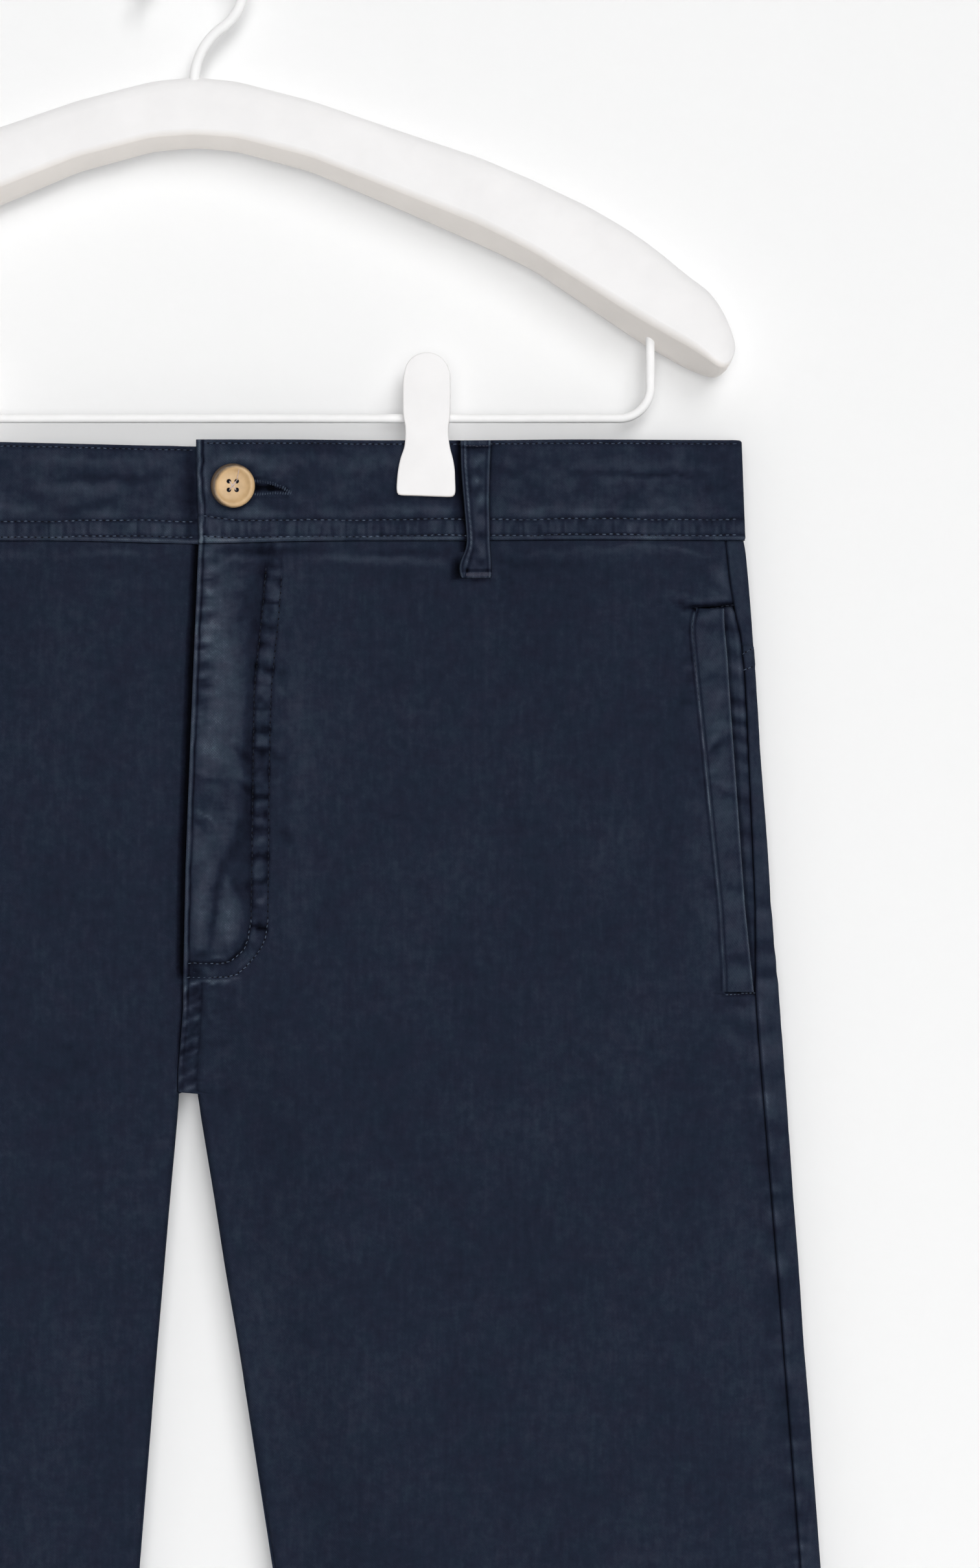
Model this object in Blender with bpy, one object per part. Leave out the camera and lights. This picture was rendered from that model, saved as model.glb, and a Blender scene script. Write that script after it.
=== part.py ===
"""Chino shorts held flat by a clip hanger.

The shorts are a flattened tube that splits into two legs. Every panel, band, welt and loop lies on one
shared skin: the flat outline, rounded at its folds, and fuller between them. "x" runs to the wearer's
left, "drop" is the distance below the waistband's top edge, and both are in millimetres until a vertex
is placed. The origin is the inside of the hook, where a rail carries the hanger, and the front faces -Y.
"""

import math

import bmesh
import bpy
import numpy as np
from mathutils import Matrix, Vector

MM = 0.001
SEAM_GAP = 0.3

# Heights, in millimetres.
WAIST_Z = -192.0
CROTCH_DROP = 252.0
HEM_DROP = 482.0
BAND_DROP = 38.7
YOKE_SIDE_DROP = 79.0
YOKE_FALL = 26.0

# Cloth, in millimetres.
PANEL_THICK = 1.2
BAND_THICK = 2.2
BAND_PROUD = 0.8
WELT_THICK = 1.5
WELT_PROUD = 0.25
FACING_THICK = 0.9
ZIP_THICK = 0.8
LOOP_THICK = 1.5
FOLD_RADIUS = 3.0

# How full the tube is: half depths, in millimetres.
CLIPPED_HALF = 1.6
WAIST_HALF = 6.2
BODY_HALF = 12.5
OUTER_RISE = 60.0
INNER_RISE = 45.0

# Clips, in millimetres.
CLIP_X = 89.7
CLIP_FLAT = 13.0
CLIP_RELEASE = 45.0
CLIP_FOOT = 21.8
CLIP_CORNER = 2.0
JAW_THICK = 3.2

# The bar and the hook's wire, in millimetres.
BAR_RADIUS = 1.75
BAR_RISE = 8.5
BAR_BEND = 12.0
BAR_LEG_X = 175.8
WIRE_RADIUS = 2.0
HOOK_RADIUS = 19.0
HOLE_CLEARANCE = 0.3

# The button, in millimetres.
BUTTON_X = 15.35
BUTTON_DROP = 18.0
BUTTON_RADIUS = 8.5
BUTTON_THICK = 3.0
SHANK_RADIUS = 1.4
EYE_RADIUS = 2.0
SLIT_END = (36.5, 19.6)
SLIT_WIDTH = 0.9


def table(columns, *rows):
    """A table with named columns, one row for each level."""
    return dict(zip(columns.split(), np.array(rows, float).T))


def level(rows, column, drop):
    return float(np.interp(drop, rows["drop"], rows[column]))


OUTLINE = table(
    "drop outer seam",
    (0, 210.3, 203.0),
    (38, 211.7, 204.7),
    (42, 212.6, 205.1),
    (55, 213.8, 206.5),
    (69, 214.9, 209.0),
    (74, 215.2, 210.5),
    (90, 216.4, 212.1),
    (105, 217.4, 212.9),
    (180, 222.7, 216.2),
    (212, 225.3, 216.2),
    (230, 226.7, 217.4),
    (330, 233.8, 225.5),
    (500, 245.8, 238.4),
)
FLY = table(
    "drop edge",
    (38, 2.1),
    (70, 0.9),
    (118, -0.9),
    (165, -2.6),
    (200, -3.3),
    (219, -3.8),
    (244, -6.2),
    (252, -6.2),
)
POCKET = table(
    "drop welt mouth",
    (64.3, 193.8, 204.2),
    (69, 192.4, 204.3),
    (73, 192.0, 204.5),
    (82, 192.8, 205.4),
    (105, 195.2, 206.9),
    (180, 202.8, 212.3),
    (205, 204.3, 214.9),
    (213, 204.4, 215.7),
)
LOOP = table(
    "drop left right",
    (0.4, -6.2, 6.0),
    (10, -6.0, 5.6),
    (22, -5.0, 5.4),
    (38, -3.6, 5.6),
    (40, -3.7, 5.6),
    (44, -4.6, 5.8),
    (48, -5.8, 6.0),
    (53.2, -6.2, 6.0),
)
LEFT, RIGHT = 1, -1
FRONT, BACK = -1, 1
SIDES = {"left": LEFT, "right": RIGHT}

LOOP_FRONT_X = 108.7
LOOP_BACK_X = 122.0
LEG_GAP = {LEFT: (1.5, 0.1635), RIGHT: (-6.1, -0.086)}
HEM_TILT = 0.06
SPLAY_START = 120.0
RIGHT_SPLAY = 13.0
UNDERLAP_X = 30.0
FLY_EXTENSION = 16.0
ZIP_FROM_EDGE = 5.0
ZIP_WIDTH = 11.0

# Levels and columns that neighbouring pieces share, so that they bend alike along their seams.
YOKE_ROWS = (46.0, 55.0, 64.0)
POCKET_ROWS = (69.0, 73.0, 82.0, 105.0, 130.0, 155.0, 180.0, 205.0)
LEG_ROWS = (253.0, 262.0, 300.0, 350.0, 400.0, 445.0, HEM_DROP)
FOLD_STEPS = (0.0, 30.0, 60.0, 90.0)
FOLD_SEAM = 5.0
INNER_STEPS = (9.0, 24.0)
LAP_STEPS = (9.0, 17.5, 21.0, 25.0, 30.0)
FRONT_COLUMNS = (56.0, 77.0, 102.5, 108.5, 114.5, 130.0, 160.0, 205.0)
BACK_COLUMNS = (56.0, 77.0, 102.5, 116.0, 122.0, 128.0, 150.0, 180.0, 209.0)

NAVY = (0.016, 0.023, 0.040)
NAVY_WORN = (0.022, 0.031, 0.050)
WHITE = (0.84, 0.83, 0.82)
HORN = (0.62, 0.45, 0.25)
THREAD = (0.70, 0.58, 0.50)
ZIP_NAVY = (0.02, 0.025, 0.04)


def smooth(value):
    value = min(max(value, 0.0), 1.0)
    return value * value * (3 - 2 * value)


# The skin that all the cloth lies on


def across(side, rows, column, drop):
    """A table's half width as an x on that side. The right leg hangs a little straighter."""
    splay = RIGHT_SPLAY * max(0.0, drop - SPLAY_START) / (HEM_DROP - SPLAY_START) if side == RIGHT else 0.0
    return side * (level(rows, column, drop) - splay)


def leg_inner(side, drop):
    start, slope = LEG_GAP[side]
    return start + slope * (drop - CROTCH_DROP)


def distances(x, drop):
    """How far a point lies inside the outer edge and inside the gap between the legs."""
    outer = min(across(LEFT, OUTLINE, "outer", drop) - x, x - across(RIGHT, OUTLINE, "outer", drop))
    if drop > CROTCH_DROP:
        left, right = leg_inner(LEFT, drop), leg_inner(RIGHT, drop)
        return outer, max(x - left, right - x)
    beside = max(LEG_GAP[RIGHT][0] - x, x - LEG_GAP[LEFT][0], 0.0)
    return outer, math.hypot(beside, CROTCH_DROP - drop)


def fold(distance):
    """The square of a round fold's depth, from 0 at its edge to 1 past its radius."""
    part = min(distance / FOLD_RADIUS, 1.0)
    return part * (2 - part)


def fullness(x, drop):
    """The half depth away from the folds: pressed flat at the clips, fuller below them."""
    beside = smooth((abs(abs(x) - CLIP_X) - CLIP_FLAT) / CLIP_RELEASE)
    below = smooth((drop - CLIP_FOOT - 2) / 110)
    free = WAIST_HALF + (BODY_HALF - WAIST_HALF) * smooth(drop / 150)
    return CLIPPED_HALF + (free - CLIPPED_HALF) * (1 - (1 - beside) * (1 - below))


def depth_squared(x, drop):
    outer, inner = distances(x, drop)
    rise = smooth((outer - FOLD_RADIUS) / OUTER_RISE) * smooth((inner - FOLD_RADIUS) / INNER_RISE)
    depth = FOLD_RADIUS + (fullness(x, drop) - FOLD_RADIUS) * rise
    return depth * depth * fold(outer) * fold(inner)


def skin(x, drop, face, lift=0.0):
    """The point of the skin at x and drop on one face, moved out along its normal, in metres."""
    step = 0.02
    y = face * math.sqrt(max(depth_squared(x, drop), 0.0))
    along_x = (depth_squared(x + step, drop) - depth_squared(x - step, drop)) / (2 * step)
    along_drop = (depth_squared(x, drop + step) - depth_squared(x, drop - step)) / (2 * step)
    normal = Vector((-along_x / 2, y, along_drop / 2)).normalized()
    return (Vector((x, y, WAIST_Z - drop)) + normal * lift) * MM


# Making objects


def material(name, colour, roughness):
    made = bpy.data.materials.new(name)
    made.use_nodes = True
    shader = made.node_tree.nodes["Principled BSDF"]
    shader.inputs["Base Color"].default_value = (*colour, 1.0)
    shader.inputs["Roughness"].default_value = roughness
    return made


def finish(name, mesh, colour, roughness=0.9, smooth_angle=40):
    """Turns a bmesh into an object with its own material."""
    bmesh.ops.recalc_face_normals(mesh, faces=mesh.faces)
    data = bpy.data.meshes.new(name)
    mesh.to_mesh(data)
    mesh.free()
    data.materials.append(material(name, colour, roughness))
    data.shade_smooth()
    data.set_sharp_from_angle(angle=math.radians(smooth_angle))
    made = bpy.data.objects.new(name, data)
    bpy.context.scene.collection.objects.link(made)
    return made


def cloth(name, columns, rows, spot, outer, inner, colour=NAVY):
    """A closed layer of cloth. spot(column, row) gives x, drop and face; outer and inner give its lifts."""
    mesh = bmesh.new()
    bmesh.ops.create_grid(mesh, x_segments=columns - 1, y_segments=rows - 1, size=0.5)
    column_of = mesh.verts.layers.int.new("column")
    row_of = mesh.verts.layers.int.new("row")
    for vert in mesh.verts:
        vert[column_of] = round((vert.co.x + 0.5) * (columns - 1))
        vert[row_of] = round((0.5 - vert.co.y) * (rows - 1))
    made = bmesh.ops.extrude_face_region(mesh, geom=mesh.faces[:])
    under = {item for item in made["geom"] if isinstance(item, bmesh.types.BMVert)}
    for vert in mesh.verts:
        x, drop, face = spot(vert[column_of], vert[row_of])
        lift = inner if vert in under else outer
        vert.co = skin(x, drop, face, lift(x, drop, face) if callable(lift) else lift)
    return finish(name, mesh, colour)


# Shared lines of the cut

def fold_distance(degrees):
    return FOLD_RADIUS * (1 - math.cos(math.radians(degrees)))


def band_bottom(x):
    """The waistband dips by a millimetre and a half at the centre front."""
    return BAND_DROP + 1.4 * math.exp(-((x / 40) ** 2))


def seat_line(drop):
    """The centre back seam, which leans with the crotch."""
    return -2.3 * (drop / CROTCH_DROP) ** 2


def spread_columns(near, far, columns):
    """Columns between two lines, in the shares that the waist's own columns have."""
    first = INNER_STEPS[-1]
    shares = [(column - first) / (columns[-1] - first) for column in columns]
    return [near + (far - near) * share for share in shares]


def hem(side, x, drop):
    """Levels near the hem tilt, so that the leg ends square to its own run."""
    middle = side * 140
    return drop - side * HEM_TILT * (x - middle) * smooth((drop - 330) / (HEM_DROP - 330))


def yoke_line(x):
    """The yoke's seam falls from the side to the centre back."""
    return YOKE_SIDE_DROP + YOKE_FALL * (1 - min(abs(x) / 212.0, 1.0))


def inner_offsets(steps=INNER_STEPS):
    return [fold_distance(FOLD_SEAM), *[fold_distance(step) for step in FOLD_STEPS[1:]], *steps]


CROTCH_ROWS = (243.0, *[CROTCH_DROP - fold_distance(step) for step in (90.0, 60.0, 30.0, FOLD_SEAM)])


def lap_depth(x, drop):
    """How far the right front dips under the left one at the fly."""
    fly = level(FLY, "edge", drop)
    deepest = PANEL_THICK + ZIP_THICK + 2 * SEAM_GAP
    amount = deepest - (deepest - SEAM_GAP) * smooth((drop - 205) / 20)
    return -amount * smooth((x - fly + 13) / 11.5)


def build_front(name, side):
    rows = (None, *YOKE_ROWS, 64.6, *POCKET_ROWS, 212.9, 213.5, 230.0, *CROTCH_ROWS, *LEG_ROWS)
    offsets = inner_offsets(INNER_STEPS if side == LEFT else LAP_STEPS)

    def inner_edge(drop):
        if drop > CROTCH_DROP:
            return leg_inner(side, drop)
        fly = level(FLY, "edge", drop)
        if side == LEFT:
            return fly
        return fly - SEAM_GAP + (FLY_EXTENSION + SEAM_GAP) * (1 - smooth((drop - 200) / 13))

    def outer_edge(drop):
        in_pocket = 64.3 < drop < 213.2
        rows_used, column = (POCKET, "welt") if in_pocket else (OUTLINE, "seam")
        return across(side, rows_used, column, drop) - side * SEAM_GAP / 2

    def line(column, drop):
        start = inner_edge(drop)
        if column < len(offsets):
            return start + side * offsets[column]
        near = start + side * offsets[-1]
        return spread_columns(near, outer_edge(drop), FRONT_COLUMNS)[column - len(offsets)]

    def spot(column, row):
        if rows[row] is None:
            x = line(column, BAND_DROP)
            return x, band_bottom(x) + SEAM_GAP, FRONT
        drop = hem(side, line(column, rows[row]), rows[row])
        return line(column, drop), drop, FRONT

    def outer(x, drop, face):
        return lap_depth(x, drop) if side == RIGHT else 0.0

    def inner(x, drop, face):
        return outer(x, drop, face) - PANEL_THICK

    return cloth(name, len(offsets) + len(FRONT_COLUMNS), len(rows), spot, outer, inner)


def back_columns(side, inner_x, seam_x, drop):
    """Columns of a back piece at one level: across the back, round the side fold, to the seam in front."""
    edge = across(side, OUTLINE, "outer", drop)
    offsets = inner_offsets()
    near = inner_x + side * offsets[-1]
    far = edge - side * FOLD_RADIUS
    across_back = [inner_x + side * offset for offset in offsets]
    across_back += spread_columns(near, far, BACK_COLUMNS)
    round_back = [edge - side * fold_distance(step) for step in (60.0, 30.0, 0.0)]
    round_front = [edge - side * fold_distance(step) for step in FOLD_STEPS[1:]]
    columns = [(x, BACK) for x in across_back + round_back]
    return columns + [(x, FRONT) for x in (*round_front, seam_x)]


def build_back(name, side):
    rows = (YOKE_SIDE_DROP, 90.0, 105.0, 130.0, 155.0, 180.0, 205.0, 230.0, *CROTCH_ROWS, *LEG_ROWS)

    def line(column, drop):
        centre = seat_line(drop) + side * SEAM_GAP / 2
        inner_x = leg_inner(side, drop) if drop > CROTCH_DROP else centre
        seam_x = across(side, OUTLINE, "seam", drop) + side * SEAM_GAP / 2
        return back_columns(side, inner_x, seam_x, drop)[column]

    def spot(column, row):
        drop = rows[row]
        x, face = line(column, drop)
        fall = (yoke_line(x) - rows[0]) * (1 - smooth((drop - rows[0]) / 130)) if face == BACK else 0.0
        drop = hem(side, x, drop + fall)
        return (*line(column, drop)[:1], drop, face)

    columns = len(inner_offsets()) + len(BACK_COLUMNS) + 3 + 4
    return cloth(name, columns, len(rows), spot, 0.0, -PANEL_THICK)


def build_yoke(name, side):
    rows = (BAND_DROP, *YOKE_ROWS, YOKE_SIDE_DROP)

    def spot(column, row):
        centre = side * SEAM_GAP / 2
        guess = rows[row]
        seam_x = across(side, OUTLINE, "seam", guess) + side * SEAM_GAP / 2
        x, face = back_columns(side, centre, seam_x, guess)[column]
        top = band_bottom(x if face == FRONT else 200.0) + SEAM_GAP
        bottom = (yoke_line(x) if face == BACK else YOKE_SIDE_DROP) - SEAM_GAP
        drop = top + (bottom - top) * (guess - BAND_DROP) / (YOKE_SIDE_DROP - BAND_DROP)
        if column < len(inner_offsets()):
            x += seat_line(drop)
        return x, drop, face

    columns = len(inner_offsets()) + len(BACK_COLUMNS) + 3 + 4
    return cloth(name, columns, len(rows), spot, 0.0, -PANEL_THICK)


def band_columns(side, start, near_end, edge):
    """Columns of half the waistband: along the front, round the side fold and along the back."""
    front = [start, *[side * x for x in (*near_end, *FRONT_COLUMNS[:-1])], edge - side * FOLD_RADIUS]
    back = [edge - side * fold_distance(step) for step in FOLD_STEPS]
    back += [side * x for x in (*BACK_COLUMNS[-2::-1], 30.0, 10.0, SEAM_GAP / 2)]
    round_front = [edge - side * fold_distance(step) for step in (60.0, 30.0)]
    return [(x, FRONT) for x in front + round_front] + [(x, BACK) for x in back]


def build_band(name, side):
    """Half the waistband. The left end laps over the right one, which runs on under it."""
    rows = 4
    sink = BAND_THICK + SEAM_GAP
    near_end = (8.0, 24.0, 38.0) if side == LEFT else (1.5, 5.0, 10.0, 22.0, 38.0)

    def top(x, face):
        return 2.5 * smooth((x + 110) / 110) if side == RIGHT and face == FRONT else 0.0

    def spot(column, row):
        part = row / (rows - 1)
        edge = across(side, OUTLINE, "outer", BAND_DROP * part)
        start = 1.0 + 1.1 * part if side == LEFT else UNDERLAP_X
        x, face = band_columns(side, start, near_end, edge)[column]
        bottom = band_bottom(x if face == FRONT else 200.0)
        start_drop = top(x, face)
        return x, start_drop + (bottom - start_drop) * part, face

    def outer(x, drop, face):
        dips = side == RIGHT and face == FRONT
        return BAND_PROUD - (sink * smooth((x + 10) / 8.5) if dips else 0.0)

    def inner(x, drop, face):
        return outer(x, drop, face) - BAND_THICK

    columns = len(band_columns(side, 0.0, near_end, 0.0))
    return cloth(name, columns, rows, spot, outer, inner, NAVY_WORN)


def build_welt(name, side):
    rows = (64.9, *POCKET_ROWS, 212.6)
    columns = 3

    def spot(column, row):
        drop = rows[row]
        start = across(side, POCKET, "welt", drop) + side * SEAM_GAP / 2
        end = across(side, POCKET, "mouth", drop)
        return start + (end - start) * column / (columns - 1), drop, FRONT

    return cloth(name, columns, len(rows), spot, WELT_PROUD, WELT_PROUD - WELT_THICK, NAVY_WORN)


def build_facing(name, side):
    rows = (61.0, 73.0, 90.0, 105.0, 130.0, 155.0, 180.0, 205.0, 216.0)
    columns = 3
    outer = WELT_PROUD - WELT_THICK - SEAM_GAP

    def spot(column, row):
        drop = rows[row]
        start = across(side, POCKET, "mouth", drop) - side * 7
        end = across(side, OUTLINE, "seam", drop) + side * 2
        return start + (end - start) * column / (columns - 1), drop, FRONT

    return cloth(name, columns, len(rows), spot, outer, outer - FACING_THICK)


def build_zip():
    rows = (42.5, 80.0, 118.0, 160.0, 198.0)
    columns = 2
    outer = -PANEL_THICK - SEAM_GAP

    def spot(column, row):
        drop = rows[row]
        return level(FLY, "edge", drop) + ZIP_FROM_EDGE + ZIP_WIDTH * column, drop, FRONT

    return cloth("fly_zip", columns, len(rows), spot, outer, outer - ZIP_THICK, ZIP_NAVY)


def build_loop(name, centre, face):
    """A belt loop: sewn down at both ends, a little proud of the band between them."""
    drops = LOOP["drop"]
    columns = 3

    def spot(column, row):
        drop = float(drops[row])
        turn = 1 if centre > 0 else -1
        left, right = level(LOOP, "left", drop), level(LOOP, "right", drop)
        return centre + turn * (left + (right - left) * column / (columns - 1)), drop, face

    def inner(x, drop, face):
        seated = BAND_PROUD * (1 - smooth((drop - 41) / 4)) + SEAM_GAP
        return seated + 0.7 * math.sin(math.pi * min(max((drop - 4) / 44, 0.0), 1.0))

    def outer(x, drop, face):
        return inner(x, drop, face) + LOOP_THICK

    return cloth(name, columns, len(drops), spot, outer, inner, NAVY_WORN)


# Hard pieces


def prism(outline, depth):
    """A bmesh of a flat outline in X and Z, extruded back along Y from 0."""
    mesh = bmesh.new()
    verts = [mesh.verts.new(Vector((x, 0.0, z)) * MM) for x, z in outline]
    face = mesh.faces.new(verts)
    made = bmesh.ops.extrude_face_region(mesh, geom=[face])
    moved = [item for item in made["geom"] if isinstance(item, bmesh.types.BMVert)]
    bmesh.ops.translate(mesh, vec=Vector((0.0, depth, 0.0)) * MM, verts=moved)
    return mesh


def cylinder(radius, depth, segments, direction, middle):
    """A bmesh cylinder along a direction, about its middle."""
    mesh = bmesh.new()
    bmesh.ops.create_cone(
        mesh, cap_ends=True, segments=segments, radius1=radius * MM, radius2=radius * MM, depth=depth * MM
    )
    turn = Vector((0, 0, 1)).rotation_difference(Vector(direction)).to_matrix().to_4x4()
    place = Matrix.Translation(Vector(middle) * MM) @ turn
    bmesh.ops.transform(mesh, matrix=place, verts=mesh.verts)
    return mesh


def combine(target, name, mesh, operation="DIFFERENCE"):
    """Cuts a hidden solid out of an object, or joins it on."""
    bmesh.ops.recalc_face_normals(mesh, faces=mesh.faces)
    data = bpy.data.meshes.new(name)
    mesh.to_mesh(data)
    mesh.free()
    guide = bpy.data.objects.new(name, data)
    guide.display_type = "WIRE"
    guide.hide_render = True
    bpy.context.scene.collection.objects.link(guide)
    modifier = target.modifiers.new(name, "BOOLEAN")
    modifier.operation = operation
    modifier.solver = "EXACT"
    modifier.object = guide


def arc(centre, radius, start, end, steps):
    """Points of a circular arc, its angles in degrees."""
    angles = [math.radians(start + (end - start) * step / steps) for step in range(steps + 1)]
    return [(centre[0] + radius * math.cos(a), centre[1] + radius * math.sin(a)) for a in angles]


def band_half(x, drop):
    """Half the depth of the closed waistband at a point, to its outer face."""
    return math.sqrt(depth_squared(x, drop)) + BAND_PROUD


def build_button(band):
    """A four-hole button with a raised rim, standing off the waistband on a thread shank."""
    back = -band_half(BUTTON_X, BUTTON_DROP) - 0.6
    profile = (
        (0.0, 0.0),
        (BUTTON_RADIUS - 1.6, 0.0),
        (BUTTON_RADIUS, 1.1),
        (BUTTON_RADIUS, 2.1),
        (BUTTON_RADIUS - 0.9, BUTTON_THICK),
        (BUTTON_RADIUS - 2.1, BUTTON_THICK - 0.2),
        (BUTTON_RADIUS - 2.9, BUTTON_THICK - 0.9),
        (0.0, BUTTON_THICK - 1.1),
    )
    mesh = bmesh.new()
    verts = [mesh.verts.new(Vector((radius, -out, 0.0)) * MM) for radius, out in profile]
    edges = [mesh.edges.new(pair) for pair in zip(verts, verts[1:])]
    bmesh.ops.spin(
        mesh, geom=verts + edges, axis=(0, 1, 0), cent=(0, 0, 0), steps=32, angle=math.tau, use_merge=True
    )
    bmesh.ops.remove_doubles(mesh, verts=mesh.verts, dist=0.00001)
    place = Matrix.Translation(Vector((BUTTON_X, back, WAIST_Z - BUTTON_DROP)) * MM)
    bmesh.ops.transform(mesh, matrix=place, verts=mesh.verts)
    button = finish("button", mesh, HORN, 0.35)
    for index, (across_x, up) in enumerate(((1, 1), (-1, 1), (-1, -1), (1, -1))):
        spot = (BUTTON_X + 1.5 * across_x, back - 1.5, WAIST_Z - BUTTON_DROP + 1.65 * up)
        combine(button, f"button_hole_{index + 1}", cylinder(0.9, 8.0, 10, (0, 1, 0), spot))

    underlap = -band_half(BUTTON_X, BUTTON_DROP) + BAND_THICK + SEAM_GAP
    length = underlap - back - 2 * SEAM_GAP
    middle = (BUTTON_X, back + SEAM_GAP + length / 2, WAIST_Z - BUTTON_DROP)
    finish("button_shank", cylinder(SHANK_RADIUS, length, 16, (0, 1, 0), middle), THREAD)

    eye = arc((0, 0), EYE_RADIUS, 30, 330, 12)
    half = SLIT_WIDTH / 2
    run = SLIT_END[0] - BUTTON_X
    fall = BUTTON_DROP - SLIT_END[1]
    outline = [*eye, (run, fall - half), (run + half, fall), (run, fall + half)]
    mesh = prism(outline, 10.0)
    place = Vector((BUTTON_X, -band_half(BUTTON_X, BUTTON_DROP) - 5.0, WAIST_Z - BUTTON_DROP)) * MM
    bmesh.ops.translate(mesh, vec=place, verts=mesh.verts)
    combine(band, "buttonhole", mesh)


CLIP_OUTLINE = table(
    "rise half",
    (24.8, 8.9),
    (16.0, 8.9),
    (8.0, 8.5),
    (0.0, 8.5),
    (-7.0, 9.4),
    (-12.5, 11.0),
    (-16.0, 11.3),
    (-19.8, 11.3),
)


def build_clip(name, x, face):
    """One jaw of a clip: a plain plate beside the cloth, with a pad that rides on the bar."""
    inside = CLIPPED_HALF + BAND_PROUD + SEAM_GAP
    top = arc((0, CLIP_OUTLINE["rise"][0]), CLIP_OUTLINE["half"][0], 0, 180, 12)
    foot = list(zip(CLIP_OUTLINE["half"], CLIP_OUTLINE["rise"]))[1:]
    corner = arc((foot[-1][0] - CLIP_CORNER, foot[-1][1]), CLIP_CORNER, 0, -90, 3)[1:]
    down = foot + corner
    outline = top + [(-half, rise) for half, rise in down] + down[::-1]
    mesh = prism(outline, JAW_THICK)
    rim = [edge for edge in mesh.edges if all(abs(vert.co.y) < 1e-6 for vert in edge.verts)]
    bmesh.ops.bevel(
        mesh, geom=rim, offset=0.8 * MM, segments=2, profile=0.5, affect="EDGES", material=-1
    )
    if face == BACK:
        bmesh.ops.scale(mesh, vec=(1, -1, 1), verts=mesh.verts)
        bmesh.ops.reverse_faces(mesh, faces=mesh.faces)
    place = Vector((x, face * (inside + JAW_THICK), WAIST_Z)) * MM
    bmesh.ops.translate(mesh, vec=place, verts=mesh.verts)
    jaw = finish(name, mesh, WHITE, 0.4)

    sunk = 1.0
    depth = inside - BAR_RADIUS - SEAM_GAP + sunk
    pad = bmesh.new()
    bmesh.ops.create_cube(pad, size=1.0)
    bmesh.ops.scale(pad, vec=Vector((14.0, depth, 9.0)) * MM, verts=pad.verts)
    middle = Vector((x, face * (inside + sunk - depth / 2), WAIST_Z + BAR_RISE)) * MM
    bmesh.ops.translate(pad, vec=middle, verts=pad.verts)
    combine(jaw, f"{name}_pad", pad, "UNION")


def wire(name, points, radius, sides, colour, roughness=0.4):
    """A round wire along points in the X and Z plane, swept by a curve with filled caps."""
    curve = bpy.data.curves.new(name, "CURVE")
    curve.dimensions = "3D"
    curve.bevel_depth = radius * MM
    curve.bevel_resolution = sides
    curve.use_fill_caps = True
    spline = curve.splines.new("POLY")
    spline.points.add(len(points) - 1)
    for point, (x, z) in zip(spline.points, points):
        point.co = (x * MM, 0.0, z * MM, 1.0)
    curve.materials.append(material(name, colour, roughness))
    made = bpy.data.objects.new(name, curve)
    bpy.context.scene.collection.objects.link(made)
    return made


ARM = table(
    "x lower crease upper half",
    (0, 112.0, 118.0, 140.0, 6.5),
    (16, 110.5, 117.0, 138.5, 6.5),
    (45, 102.5, 109.5, 131.0, 7.0),
    (80, 87.5, 95.5, 119.0, 8.0),
    (110, 74.0, 83.5, 109.0, 9.0),
    (130, 65.0, 73.0, 100.5, 10.0),
    (152, 50.0, 59.3, 90.0, 11.0),
    (165, 41.0, 51.0, 82.5, 11.5),
    (174, 35.0, 45.5, 76.5, 12.0),
    (183, 30.0, 40.3, 69.5, 12.0),
    (190, 26.0, 36.6, 63.5, 11.8),
    (197, 23.5, 32.0, 58.3, 11.2),
    (202, 23.2, 29.0, 53.4, 9.8),
    (206, 25.6, 29.6, 47.6, 7.2),
    (208.4, 30.4, 32.6, 42.0, 3.4),
)


def build_arms():
    """The hanger's arms: one body, deepest near its rounded ends. Its under-face rises to a crease in front."""
    stations = [(side, row) for side in (RIGHT, LEFT) for row in range(len(ARM["x"]))]
    stations = sorted({(side * ARM["x"][row], row) for side, row in stations})
    mesh = bmesh.new()
    rings = []
    for x, row in stations:
        lower, crease, upper, half = (ARM[column][row] for column in ("lower", "crease", "upper", "half"))
        shoulder = upper - 0.2 * (upper - crease)
        front = [(-half, crease), (-0.72 * half, shoulder), (-0.3 * half, upper)]
        outline = front + [(-y, z) for y, z in reversed(front)] + [(0.75 * half, lower)]
        rings.append([mesh.verts.new(Vector((x, y, WAIST_Z + z)) * MM) for y, z in outline])
    for near, far in zip(rings, rings[1:]):
        for index in range(len(near)):
            after = (index + 1) % len(near)
            mesh.faces.new((near[index], near[after], far[after], far[index]))
    mesh.faces.new(rings[0])
    mesh.faces.new(rings[-1])
    return finish("hanger_arms", mesh, WHITE, 0.45, 30)


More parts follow.
